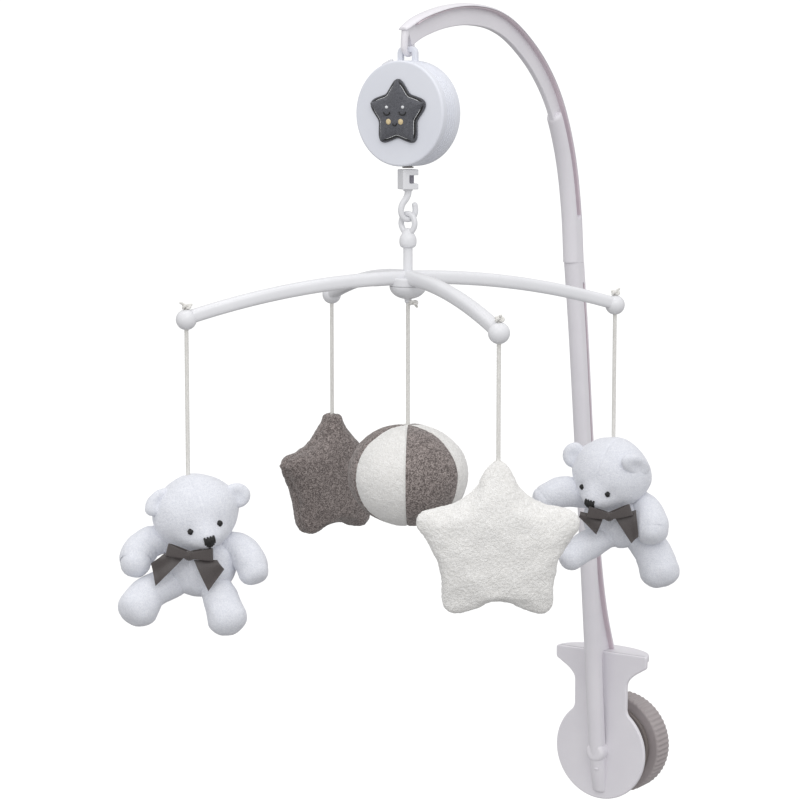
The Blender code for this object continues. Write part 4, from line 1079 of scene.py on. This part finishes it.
def makeBadge():
    face = case["front"] - 0.0003
    bm = bmesh.new()
    base = slab(evenly(starOutline(badge["base"], badge["inner"], 8, 0.27, 0.28), 0.0004), 0.0012)
    roundEdges(base, 0.0003, 2)
    for vert in base.verts:
        vert.co.xy *= 1 + 0.006 * noise.noise(vert.co * 1800)
    blend(bm, base, onCase(face - 0.0006))
    pad = bmesh.new()
    bmesh.ops.create_grid(pad, x_segments=130, y_segments=130, size=0.0250)
    outside = [v for v in pad.verts if padHeight(v.co.x, v.co.y) < 0.0006]
    bmesh.ops.delete(pad, geom=outside, context='VERTS')
    for vert in pad.verts:
        vert.co.z = padHeight(vert.co.x, vert.co.y) * 0.8 + 0.0009 + 0.00012 * noise.noise(vert.co * 900)
    rim = [e for e in pad.edges if e.is_boundary]
    wall = bmesh.ops.extrude_edge_only(pad, edges=rim)["geom"]
    low = [g for g in wall if isinstance(g, bmesh.types.BMVert)]
    for vert in low:
        vert.co.z = 0.0002
        vert.co.xy *= 1.01
    bmesh.ops.contextual_create(pad, geom=[g for g in wall if isinstance(g, bmesh.types.BMEdge)])
    blend(bm, pad, onCase(face - 0.0010))
    piece = addPiece("star_badge_felt", bm, "music_box", "felt", ["star_badge"],
                     even=False)
    addBadgeThread(face)


# stitches round the edge, closed eyes, cheeks and a small smile
def addBadgeThread(face):
    def lifted(x, z, out):
        return Vector((x, face - 0.0021 - padHeight(x, z) * 0.8 - out, case["z"] + z))

    dark, pale, gold = bmesh.new(), bmesh.new(), bmesh.new()
    line = evenly(starOutline(badge["stitch"], badge["inner"], 8, 0.27, 0.28), 0.0004)
    path = [Vector((p.x, face - 0.0014, case["z"] + p.y)) for p in line]
    blend(dark, bar(path + path[:1], 0.00055, 10, domed=False))
    inner = evenly(starOutline(badge["stitch"] * 0.955, badge["inner"], 8, 0.27, 0.28), 0.0021)
    for here, ahead in zip(inner, inner[1:] + inner[:1]):
        ends = [here.lerp(ahead, 0.12), here.lerp(ahead, 0.86)]
        if (ahead - here).length < 0.003:
            blend(pale, bar([Vector((p.x, face - 0.0021, case["z"] + p.y)) for p in ends], 0.00022, 8))
    for side in (-1, 1):
        lash = [lifted(side * 0.0068 + 0.0027 * cos(a), 0.0010 + 0.0020 * sin(a), 0.0001)
                for a in (pi + pi * k / 10 for k in range(11))]
        blend(dark, bar(lash, 0.00045, 8))
        blend(pale, ball(lifted(side * 0.0070, 0.0046, 0), (0.0013, 0.0007, 0.0011), 3))
        blend(gold, ball(lifted(side * 0.0053, -0.0058, 0), (0.0021, 0.0008, 0.0021), 3))
    smile = [lifted(0.0016 * cos(a), -0.0074 + 0.0012 * sin(a), 0.0001)
             for a in (pi + pi * k / 8 for k in range(9))]
    blend(dark, bar(smile, 0.00040, 8))
    addPiece("badge_dark_thread", dark, "music_box", "black", even=False)
    addPiece("badge_pale_thread", pale, "music_box", "silver", even=False)
    addPiece("badge_gold_thread", gold, "music_box", "gold", even=False)


makeFrontCover()
makeRearCover()
for key in "abc":
    makeCaseScrew(key)
makeSlider()
makeWindKey()
makeShaft()
makeBadge()
print("music box made")


# Crown: hook block, ring and stem, hub, four arms with balls, knots

crown = {"arm": 0.0104, "groove": 0.0030, "height": 0.3662, "inner": 0.0020, "ball": 0.0074,
         "cordHole": 0.0017,
         "block": 0.0120, "blockTop": 0.4450, "blockLow": 0.4305, "window": 0.0030, "windowFrom": -0.0010,
         "ringWide": 0.0061, "ringTall": 0.0072, "ringWire": 0.0019, "ringTurn": -3.0, "knot": 0.00098}
hubTop = 0.3664
hookLine = [(0.0, 0.4330), (0.0, 0.4275), (-0.0014, 0.4240), (-0.0042, 0.4200), (-0.0054, 0.4160),
            (-0.0050, 0.4122),
            (-0.0028, 0.4094), (0.0, 0.4087), (0.0032, 0.4097), (0.0053, 0.4125), (0.0058, 0.4158),
            (0.0053, 0.4190)]
across = outward("right")
acrossTurn = Matrix.Translation(hang) @ Matrix.Rotation(atan2(across.y, across.x), 4, 'Z')


def makeCoupling():
    half, middleZ = crown["block"] / 2, (crown["blockTop"] + crown["blockLow"]) / 2
    low, high = crown["blockLow"], crown["blockTop"]
    gapLow, gapHigh, start = middleZ - crown["window"], middleZ + crown["window"], crown["windowFrom"]
    outline = [(-half, low), (half, low), (half, gapLow), (start, gapLow), (start, gapHigh),
               (half, gapHigh),
               (half, high), (-half, high)]
    bm = bmesh.new()
    block = slab(outline, crown["block"])
    roundEdges(block, 0.0006, 3)
    blend(bm, block, acrossTurn @ frontPlane(0))
    # a dark sheet at the back of the window, in the second material: painted shade inside the pocket
    pocketShadowWall = slab([(start - 0.001, gapLow - 0.001), (half - 0.0006, gapLow - 0.001),
                  (half - 0.0006, gapHigh + 0.001),
                  (start - 0.001, gapHigh + 0.001)], 0.0036)  # the pocket's far wall
    blend(bm, pocketShadowWall, acrossTurn @ frontPlane(half - 0.0024), shade=1)
    line = smoothLine([acrossTurn @ Vector((x, 0, z)) for x, z in hookLine], 8)
    blend(bm, bar(line, 0.0021, 24, lambda t: 1.26 - 0.26 * min(1.0, t * 2.2)))
    collar = turnedForm([(0, low - 0.0012), (0.0033, low - 0.0012), (0.0035, low + 0.0002),
                         (0, low + 0.0002)], 32)
    blend(bm, collar, Matrix.Translation(hang))
    return addPiece("coupling_hook", bm, "output_shaft", "crown", ["coupling_block"],
                    second="pocketShade")


def makeRingAndStem():
    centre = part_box("crown_ring")[1].z - crown["ringTall"] - crown["ringWire"]
    ringTurn = Matrix.Translation(hang) @ Matrix.Rotation(radians(crown["ringTurn"]), 4, 'Z')
    path = []
    for step in range(61):
        angle = -pi / 2 + 2 * pi * step / 60
        narrow = 1 - 0.22 * max(0.0, -sin(angle)) ** 2
        path.append(ringTurn @ Vector((crown["ringWide"] * cos(angle) * narrow, 0,
                                       centre + crown["ringTall"] * sin(angle))))
    bm = bmesh.new()
    frames = framesAlong(path, ringTurn.to_3x3() @ Vector((0, 1, 0)))
    blend(bm, loft(frames, lambda i: softBar(0.0040, 0.0038, 2.6, 24)))
    bead = [(0, 0.4024), (0.0022, 0.4018), (0.0034, 0.4000), (0.0048, 0.3978), (0.0060, 0.3954),
            (0.0063, 0.3926),
            (0.0060, 0.3902), (0.0052, 0.3888), (0.0042, 0.3882), (0.0035, 0.3880)]
    profile = [(p.x, p.y) for p in smoothLine(bead, 5)]
    profile[0] = (0, profile[0][1])
    foot = hubTop + 0.0010
    profile += [(0.0034, 0.3872), (0.0034, foot + 0.0030), (0.0041, foot), (0.0041, foot - 0.0040),
                (0, foot - 0.0040)]
    blend(bm, turnedForm(profile, 64), Matrix.Translation(hang))
    return addPiece("crown_ring_and_stem", bm, "crown", "crown", ["crown_ring"])


def makeHub():
    low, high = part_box("crown_hub")
    radius = (high.x - low.x) / 2
    upper = [tuple(p) for p in softened([(radius * 0.5, hubTop), (radius, hubTop), (radius, low.z)],
                                        0.0018, 5)]
    bm = turnedForm([(0, hubTop)] + upper + [(0, low.z)], 96)
    bmesh.ops.translate(bm, vec=hang, verts=bm.verts[:])
    addPiece("crown_hub_disc", bm, "crown", "crown", ["crown_hub"])
    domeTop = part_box("hub_dome")[1].z
    depth = domeTop - 0.3505
    curve = [(radius * cos(pi / 2 * k / 20), domeTop - depth * sin(pi / 2 * k / 20)) for k in range(20)]
    lug = [(0.0030, 0.3508), (0.0024, 0.3500), (0.0024, 0.3484), (0.0016, 0.3476), (0, 0.3475)]
    dome = turnedForm([(0, domeTop), (radius - 0.0004, domeTop)] + curve[:-2] + lug, 96)
    bmesh.ops.translate(dome, vec=hang, verts=dome.verts[:])
    addPiece("hub_dome_cap", dome, "crown", "crown", ["hub_dome"])


# arched bar, a rounded square with a channel under it
def makeCrownArm(side):
    away = outward(side)
    tip = middle("ball_" + side)
    span = (Vector((tip.x, tip.y, 0)) - hang).length
    count = 60
    start = crown["inner"]
    line = []
    for i in range(count + 1):
        along = start + (span - 0.0045 - start) * i / count
        drop = (crown["height"] - tip.z - 0.0008) * (along / span) ** 2
        line.append(Vector((hang.x, hang.y, crown["height"] - drop)) + away * along)

    def ring(i):
        channel = min(1.0, max(0.0, (i - 9) / 4)) * min(1.0, (count - i) / 3)
        wide = crown["arm"] * (1.0 - 0.06 * i / count)
        points = []
        for x, y in softBar(wide, wide, 2.7, 56):
            if y < 0 and abs(x) < 0.0026:
                y += crown["groove"] * channel * sqrt(1 - (x / 0.0026) ** 2)
            points.append((x, y))
        return points

    bm = loft(framesAlong(line), ring)
    return addPiece("crown_arm_" + side, bm, "crown", "crown", ["arm_" + side], sharp=50)


def makeBallEnd(side):
    tip = middle("ball_" + side)
    radius, hole = crown["ball"], crown["cordHole"]
    curve = []
    for k in range(33):
        angle = -pi / 2 + pi * k / 32
        if abs(cos(angle)) * radius > hole:
            curve.append((radius * cos(angle), radius * sin(angle)))
    low, high = curve[0], curve[-1]
    profile = [(0, low[1] + 0.0016), (hole * 0.8, low[1] + 0.0016)] + curve
    profile += [(hole * 0.8, high[1] - 0.0016), (0, high[1] - 0.0016)]
    bm = turnedForm(profile, 64)
    bmesh.ops.translate(bm, vec=tip, verts=bm.verts[:])
    return addPiece("crown_ball_" + side, bm, "crown", "crown", ["ball_" + side])


# overhand knot with two cut ends, and the cord that comes up through the ball
def makeKnot(side):
    spot = middle("knot_" + side)
    away = outward(side) if side != "centre" else across
    size = crown["knot"]
    bm = bmesh.new()
    path = []
    for step in range(61):
        a = 0.25 + (2 * pi - 0.5) * step / 60
        x, y = sin(a) + 2 * sin(2 * a), cos(a) - 2 * cos(2 * a)
        path.append(spot + Vector((x * size, y * size * 0.85, -sin(3 * a) * size * 0.9)))
    blend(bm, bar(path, 0.00105, 14))
    if side == "centre":
        loop = [hang + Vector(p) for p in ((0.0002, -0.0002, 0.3480), (0.0018, -0.0006, 0.3490),
                                           (0.0036, -0.0008, 0.3486),
                                           (0.0056, -0.0010, 0.3480))]
        blend(bm, bar(smoothLine(loop, 6), 0.00115, 14))
        tails = [(0.0030, -0.0012, 0.0010), (0.0026, 0.0006, -0.0030)]
    else:
        blend(bm, bar([spot - Vector((0, 0, 0.0045)), spot - Vector((0, 0, 0.0010))], 0.00125, 14))
        tails = [(0.0036, -0.0006, 0.0028), (-0.0030, 0.0012, 0.0012)]
    for x, y, z in tails:
        end = spot + away * x + Vector((0, y, z))
        blend(bm, bar([spot, spot.lerp(end, 0.5) + Vector((0, 0, 0.0004)), end], 0.00095, 12))
    roughen(bm, 0, 1, 0.00012, 0.0006, 5)
    return addPiece("cord_knot_" + side, bm, "crown", "cotton", ["knot_" + side],
                    even=False)


makeCoupling()
makeRingAndStem()
makeHub()
for side in armSides:
    makeCrownArm(side)
    makeBallEnd(side)
for side in armSides + ("centre",):
    makeKnot(side)
print("crown made")


# Stuffed stars, blown up by a cloth simulation between two flat panels

star = {"inner": (0.60, 0.69, 0.66, 0.69, 0.60), "roundness": 0.19, "panelGap": 0.013, "voxel": 0.0042,
        "pressure": 4.2, "frames": 20, "cap": 0.0150,
        "seam": 0.0012, "thick": 0.036, "sag": {"front": 0.0575, "back": 0.0520},
        "radii": {"front": 0.0665, "back": 0.0590}, "paint": {"front": "terry", "back": "taupe"},
        "slot": {"front": "white_terry", "back": "taupe_terry"}}


# the item's mesh with its modifiers worked in, as a new bmesh
def evaluatedForm(item):
    made = item.evaluated_get(bpy.context.evaluated_depsgraph_get())
    mesh = made.to_mesh()
    bm = bmesh.new()
    bm.from_mesh(mesh)
    made.to_mesh_clear()
    return bm


# remeshes a closed form, blows it up as cloth, and subdivides it
def stuffed(bm, voxel, pressure, frames, cap, levels):
    mesh = bpy.data.meshes.new("stuffing")
    bm.to_mesh(mesh)
    bm.free()
    item = bpy.data.objects.new("stuffing", mesh)
    bpy.context.scene.collection.objects.link(item)
    even = item.modifiers.new("even", 'REMESH')
    even.mode = 'VOXEL'
    even.voxel_size = voxel
    form = evaluatedForm(item)
    item.modifiers.clear()
    form.to_mesh(mesh)
    form.free()
    start = [v.co.copy() for v in mesh.vertices]
    cloth = item.modifiers.new("cloth", 'CLOTH')
    cloth.settings.use_pressure = True
    cloth.settings.uniform_pressure_force = pressure
    cloth.settings.effector_weights.gravity = 0
    cloth.settings.quality = 8
    cloth.settings.tension_stiffness = 20
    cloth.settings.compression_stiffness = 20
    cloth.settings.bending_stiffness = 0.4
    cloth.point_cache.frame_start = 1
    cloth.point_cache.frame_end = frames
    for step in range(1, frames + 1):
        bpy.context.scene.frame_set(step)
    form = evaluatedForm(item)
    moved = [v.co.copy() for v in form.verts]
    form.free()
    item.modifiers.clear()
    bpy.context.scene.frame_set(1)
    for vert, before, after in zip(mesh.vertices, start, moved):
        shift = after - before
        if shift.length > cap:
            shift *= cap / shift.length
        vert.co = before + shift
    smooth = item.modifiers.new("smooth", 'SUBSURF')
    smooth.levels = smooth.render_levels = levels
    form = evaluatedForm(item)
    bpy.data.objects.remove(item)
    bpy.data.meshes.remove(mesh)
    return form


def makeStar(side, seed):
    radius = star["radii"][side]
    bm = slab(evenly(starOutline(radius * 0.985, star["inner"], 8, star["roundness"]), 0.0022),
              star["panelGap"])
    bm = stuffed(bm, star["voxel"], star["pressure"], star["frames"], star["cap"], 3)
    deep = max(abs(v.co.z) for v in bm.verts)
    for vert in bm.verts:
        vert.co.z *= star["thick"] / 2 / deep
    bm.normal_update()
    pinch = [v.normal * star["seam"] * exp(-(v.co.z / 0.0011) ** 2) for v in bm.verts]
    for vert, move in zip(bm.verts, pinch):
        vert.co -= move
    roughen(bm, 0.0011, 0.013, 0.00034, 0.0018, seed)
    place = Matrix.Translation(toyTop(side)) @ Matrix.Rotation(radians(toyTurns[side]), 4, 'Z')
    place = place @ Matrix.Translation((0, 0, -star["sag"][side])) @ frontPlane(0)
    bmesh.ops.transform(bm, matrix=place, verts=bm.verts[:])
    piece = addPiece("stuffed_star_" + side, bm, side + "_star", star["paint"][side],
                     [side + "_star"], even=False)
    return piece


# Centre ball, six sewn panels

panels = {"radius": 0.0445, "half": 0.0382, "seamAt": -2.5, "seam": 0.0010, "count": 6}


def makeCentreBall():
    rings, segments = 150, 300
    centre = middle("centre_ball")
    first = radians(view["yaw"] - 90 + panels["seamAt"])
    step = 2 * pi / panels["count"]
    bm = bmesh.new()
    bmesh.ops.create_uvsphere(bm, u_segments=segments, v_segments=rings, radius=1.0)
    bmesh.ops.rotate(bm, cent=(0, 0, 0), matrix=Matrix.Rotation(first, 3, 'Z'), verts=bm.verts[:])
    layer = bm.loops.layers.float_color.new("panel")
    for face in bm.faces:
        spot = face.calc_center_median()
        panel = int(((atan2(spot.y, spot.x) - first) % (2 * pi)) / step + 0.0001)
        shade = float((panel + 1) % 2)
        for loop in face.loops:
            loop[layer] = (shade, shade, shade, 1)
    for vert in bm.verts:
        x, y, z = vert.co
        turn = ((atan2(y, x) - first) % step)
        across = sqrt(x * x + y * y)
        away = min(turn, step - turn) * across * panels["radius"]
        bulge = 1 + 0.018 * (1 - exp(-(away / 0.009) ** 2))
        pinch = 1 - panels["seam"] / panels["radius"] * exp(-(away / 0.0010) ** 2) * min(1.0, across * 6)
        size = bulge * pinch / 1.018
        vert.co = Vector((x * panels["radius"], y * panels["radius"], z * panels["half"])) * size
    roughen(bm, 0.0006, 0.014, 0.00030, 0.0018, 11)
    bmesh.ops.translate(bm, vec=centre, verts=bm.verts[:])
    piece = addPiece("panel_ball", bm, "centre_ball", "panels", ["centre_ball"],
                     even=False)
    return piece


makeStar("front", 3)
makeStar("back", 7)
makeCentreBall()
print("stars and ball made")


# Bears: plush head, ears, trunk and limbs, satin bow. Places are for a bear that faces the camera

bearTurn = view["yaw"]
bears = {
    "left": {"head": (0.0055, 0.0, -0.0272), "yaw": 15.0, "tilt": -14.0, "nod": -2.0,
             "ears": [((-0.0248, -0.009, 0.0098), (0.0126, 0.0072, 0.0080), -38.0, 24.0),
                      ((0.0292, 0.001, 0.0128), (0.0094, 0.0060, 0.0092), 20.0, 8.0)],
             "trunk": ((0.0070, 0.0025, -0.0645), (0.0275, 0.0215, 0.0235), -18.0),
             "arms": [[(-0.012, 0.003, -0.0460, 0.0095), (-0.0280, 0.0, -0.0480, 0.0112),
                       (-0.0360, -0.007, -0.0560, 0.0120),
                       (-0.0372, -0.012, -0.0610, 0.0108)],
                      [(0.0240, 0.003, -0.0500, 0.0095), (0.0365, 0.0, -0.0530, 0.0112),
                       (0.0440, -0.006, -0.0605, 0.0118),
                       (0.0468, -0.011, -0.0670, 0.0108)]],
             "legs": [[(-0.0110, -0.002, -0.0760, 0.0110), (-0.0270, -0.014, -0.0820, 0.0126),
                       (-0.0340, -0.024, -0.0905, 0.0146)],
                      [(0.0170, -0.002, -0.0770, 0.0115), (0.0240, -0.014, -0.0870, 0.0126),
                       (0.0288, -0.025, -0.0975, 0.0138)]],
             "bow": (0.0026, -0.0252, -0.0522),
             "loops": [(-0.0160, 0.0015, 9.0), (0.0165, -0.0015, -6.0)],
             "tails": [[(-0.0175, 0.0005), (-0.0035, -0.0020), (-0.0272, -0.0062), (-0.0240, -0.0222)],
                       [(0.0030, -0.0040), (0.0195, -0.0040), (0.0132, -0.0260), (0.0245, -0.0105)]]},
    "right": {"head": (-0.0014, -0.002, -0.0272), "yaw": -30.0, "tilt": 12.0, "nod": 8.0,
              "ears": [((-0.0280, 0.006, 0.0140), (0.0090, 0.0060, 0.0098), 8.0, 0.0),
                       ((0.0160, -0.0225, 0.0105), (0.0142, 0.0062, 0.0080), 30.0, 34.0)],
              "trunk": ((0.0040, 0.004, -0.0625), (0.0265, 0.0215, 0.0225), -20.0),
              "arms": [[(-0.0160, 0.004, -0.0450, 0.0098), (-0.0340, 0.000, -0.0410, 0.0118),
                        (-0.0470, -0.003, -0.0430, 0.0110), (-0.0530, -0.004, -0.0460, 0.0094)],
                       [(0.0170, 0.000, -0.0480, 0.0100), (0.0245, -0.009, -0.0540, 0.0120),
                        (0.0275, -0.017, -0.0620, 0.0130), (0.0280, -0.020, -0.0670, 0.0124)]],
              "legs": [[(-0.0050, -0.002, -0.0740, 0.0110), (-0.0210, -0.010, -0.0815, 0.0112),
                        (-0.0330, -0.018, -0.0885, 0.0100)],
                       [(0.0200, 0.000, -0.0760, 0.0118), (0.0300, -0.006, -0.0860, 0.0140),
                        (0.0352, -0.012, -0.1000, 0.0150)]],
              "bow": (-0.0052, -0.0268, -0.0548),
              "loops": [(-0.0160, 0.0010, 8.0), (0.0170, 0.0020, -10.0)],
              "tails": [[(-0.0215, 0.0030), (-0.0040, -0.0010), (-0.0225, -0.0012), (-0.0094, -0.0145)],
                        [(0.0042, -0.0010), (0.0205, 0.0040), (0.0170, -0.0210), (0.0222, -0.0160)]]},
}
face = {"radii": (0.0312, 0.0272, 0.0278), "muzzle": 0.0100, "muzzleWide": 0.42, "eyeSpread": 0.0108,
        "eye": 0.0018,
        "eyeZ": -0.0085, "nose": (0.0033, 0.0034), "noseZ": -0.0186}


# stuffed limb along a bent line, thick and blunt at its far end
def limb(points, sides=104):
    line = smoothLine([Vector(p) for p in points], 16)
    path = [Vector(p[:3]) for p in line]
    sizes = [p[3] for p in line]
    frames = framesAlong(path)
    ends = [(1 - (1 - k / 14) ** 2) for k in range(1, 15)]
    nearCap = [(frames[0] @ Matrix.Translation((0, 0, -sizes[0] * cos(pi / 2 * e))),
                sizes[0] * sin(pi / 2 * e)) for e in ends]
    farCap = [(frames[-1] @ Matrix.Translation((0, 0, sizes[-1] * 0.86 * cos(pi / 2 * e))),
               sizes[-1] * sin(pi / 2 * e) ** 0.86)
              for e in reversed(ends)]
    rings = nearCap[:-1] + list(zip(frames, sizes)) + farCap[1:]
    return loft([m for m, s in rings], lambda i: roundBar(max(rings[i][1], 0.0002), sides))


# where the head's surface lies in a direction, the face towards -Y
def headPoint(direction):
    x, y, z = direction
    wide, deep, tall = face["radii"]
    point = Vector((x * wide, y * deep, z * tall))
    point.x *= 1 - 0.10 * max(0.0, -z) - 0.05 * max(0.0, z) ** 3
    snout = Vector((0, -0.80, -0.60))
    near = exp(-((direction - snout).length / face["muzzleWide"]) ** 2)
    point += Vector((0, -0.88, -0.30)) * face["muzzle"] * near
    for side in (-1, 1):
        socket = Vector((side * 0.37, -0.87, -0.28)).normalized()
        point += Vector((0, 1, 0)) * 0.0014 * exp(-((direction - socket).length / 0.20) ** 2)
    if y < 0.3:
        point -= direction * 0.0006 * exp(-(point.x / 0.0009) ** 2) * min(1.0, max(0.0, (z + 0.35) * 3))
    point.z += 0.0020 * max(0.0, z - 0.55) * (1 - abs(x))
    return point


# a point of the face at that width and height, found by walking over the head
def onFace(x, z):
    direction = Vector((x / face["radii"][0], -1, z / face["radii"][2]))
    best = direction.normalized()
    for attempt in range(14):
        here = headPoint(best)
        best = Vector((best.x + (x - here.x) * 22, best.y, best.z + (z - here.z) * 22)).normalized()
    return headPoint(best)


def makeBear(side, seed):
    spec = bears[side]
    body = side + "_bear"
    place = Matrix.Translation(toyTop(side)) @ Matrix.Rotation(radians(bearTurn), 4, 'Z')
    headTurn = (Matrix.Rotation(radians(spec["tilt"]), 4, 'Y')
                @ Matrix.Rotation(radians(spec["yaw"]), 4, 'Z')
                @ Matrix.Rotation(radians(spec["nod"]), 4, 'X'))
    headPlace = place @ Matrix.Translation(spec["head"]) @ headTurn
    head = bmesh.new()
    bmesh.ops.create_icosphere(head, subdivisions=7, radius=1.0)
    for vert in head.verts:
        vert.co = headPoint(vert.co.normalized())
    bmesh.ops.transform(head, matrix=headPlace, verts=head.verts[:])
    roughen(head, 0.0007, 0.012, 0.00016, 0.0011, seed)
    for centre, radii, roll, yaw in spec["ears"]:
        ear = ball((0, 0, 0), (1, 1, 1), 5)
        for vert in ear.verts:
            x, y, z = vert.co
            cup = 0.55 * exp(-(x * x + z * z) / 0.35) if y < 0 else 0.0
            vert.co = Vector((x * radii[0], (y + cup) * radii[1], z * radii[2]))
        turn = Matrix.Rotation(radians(roll), 4, 'Y') @ Matrix.Rotation(radians(yaw), 4, 'Z')
        bmesh.ops.transform(ear, matrix=place @ Matrix.Translation(Vector(spec["head"]) + Vector(centre))
                            @ turn,
                            verts=ear.verts[:])
        roughen(ear, 0.0004, 0.008, 0.00016, 0.0011, seed + 2)
        blend(head, ear)
    piece = addPiece(body + "_plush_head", head, body, "plush", [body + "_head"], even=False)
    makeFaceThread(body, headPlace)

    centre, radii, turn = spec["trunk"]
    trunk = ball((0, 0, 0), (1, 1, 1), 6)
    for vert in trunk.verts:
        x, y, z = vert.co
        crease = 0.030 * exp(-(x / 0.045) ** 2) if y < 0 else 0.0
        vert.co = Vector((x * radii[0], y * radii[1], z * radii[2])) * (1 - crease)
    trunkPlace = place @ Matrix.Translation(centre) @ Matrix.Rotation(radians(turn), 4, 'Z')
    bmesh.ops.transform(trunk, matrix=trunkPlace, verts=trunk.verts[:])
    roughen(trunk, 0.0008, 0.010, 0.00022, 0.0012, seed + 4)
    for index, points in enumerate(spec["arms"] + spec["legs"]):
        part = limb(points)
        bmesh.ops.transform(part, matrix=place, verts=part.verts[:])
        bmesh.ops.recalc_face_normals(part, faces=part.faces[:])
        roughen(part, 0.0008, 0.010, 0.00018, 0.0011, seed + 5 + index)
        blend(trunk, part)
    piece = addPiece(body + "_plush_trunk", trunk, body, "plush", [body + "_body"],
                     even=False)
    makeBow(body, spec, place)


# embroidered eyes, nose of upright stitches and a short mouth
def makeFaceThread(body, place):
    bm = bmesh.new()
    for side in (-1, 1):
        spot = onFace(side * face["eyeSpread"], face["eyeZ"])
        for k in range(5):  # short satin stitches side by side
            shift = (k - 2) * face["eye"] * 0.42
            reach = face["eye"] * (1 - 0.13 * (k - 2) ** 2)
            ends = [spot + Vector((shift, -0.0004, -reach)), spot + Vector((shift, -0.0011, 0)),
                    spot + Vector((shift, -0.0004, reach))]
            blend(bm, bar(smoothLine(ends, 4), face["eye"] * 0.30, 10), place)
    wide, tall = face["nose"]
    for k in range(7):
        x = (k - 3) * wide / 3
        top = tall * (0.95 if k % 2 == 0 else 0.62)
        low = -tall * (1 - 0.075 * (k - 3) ** 2)
        rows = []
        for t in (0, 0.25, 0.5, 0.75, 1):
            z = face["noseZ"] + low + (top - low) * t
            point = onFace(x, z)
            rows.append(point + Vector((0, -0.0006 - 0.0007 * sin(pi * t), 0)))
        blend(bm, bar(smoothLine(rows, 3), 0.00085, 10), place)
    mouth = []
    for t in range(5):
        point = onFace(-0.0006 * t / 4, face["noseZ"] - tall - 0.0018 * t / 2)
        mouth.append(point + Vector((0, -0.0002, 0)))
    blend(bm, bar(mouth, 0.0005, 8), place)
    return addPiece(body + "_face_thread", bm, body, "black", even=False)


# piece of ribbon between four corners, gently domed, given its thickness
def ribbonPatch(corners, bulge, thick=0.0005, cells=18):
    bm = bmesh.new()
    bmesh.ops.create_grid(bm, x_segments=cells, y_segments=cells, size=0.5)
    first, second, third, fourth = [Vector(c) for c in corners]
    for vert in bm.verts:
        u, v = vert.co.x + 0.5, vert.co.y + 0.5
        spot = first.lerp(second, u).lerp(third.lerp(fourth, u), v)
        fold = bulge * sin(pi * min(1.0, v * 1.15)) + 0.0005 * sin(pi * 2.2 * u + v * 2)
        vert.co = spot + Vector((0, -fold, 0))
    bmesh.ops.recalc_face_normals(bm, faces=bm.faces[:])
    bmesh.ops.solidify(bm, geom=bm.faces[:], thickness=thick)
    return bm


def makeBow(body, spec, place):
    knot = Vector(spec["bow"])
    bm = bmesh.new()
    for reach, rise, lean in spec["loops"]:
        path = []
        for k in range(25):  # out along the front, round, and back behind
            a = pi * k / 24
            path.append(Vector((reach * sin(a) ** 0.8, -0.0035 * cos(a) - 0.0010, rise * sin(a))))

        def ring(i):
            wide = 0.0042 + 0.0046 * sin(pi * i / 24) ** 0.7
            return softBar(0.0006, wide, 6.0, 20)

        lying = place @ Matrix.Translation(knot) @ Matrix.Rotation(radians(lean), 4, 'Y')
        blend(bm, loft(framesAlong(path), ring), lying)
    for corners in spec["tails"]:
        sheet = [(x, 0.0012 + 0.10 * z, z) for x, z in corners]
        blend(bm, ribbonPatch(sheet, 0.0014), place @ Matrix.Translation(knot))
    wrap = ball((0, -0.0020, -0.0004), (0.0040, 0.0034, 0.0036), 4)
    for vert in wrap.verts:
        vert.co.y += 0.00035 * sin(vert.co.x * 4200)
    blend(bm, wrap, place @ Matrix.Translation(knot))
    return addPiece(body + "_ribbon_bow", bm, body, "ribbon", [body + "_bow"], sharp=60)


makeBear("left", 21)
makeBear("right", 33)
print("bears made")


# Parts carried over from the frame keep their shape and get a finish

finishes = {"movement_frame": "steel", "tone_comb": "steel", "pin_cylinder": "brass",
            "spring_barrel": "brass",
            "governor": "brass", "shaft_bush": "shaft"}
for node, paint in finishes.items():
    part = bpy.data.objects[node]
    part.data.materials.clear()
    part.data.materials.append(paints[paint])
print("carried-over parts finished")
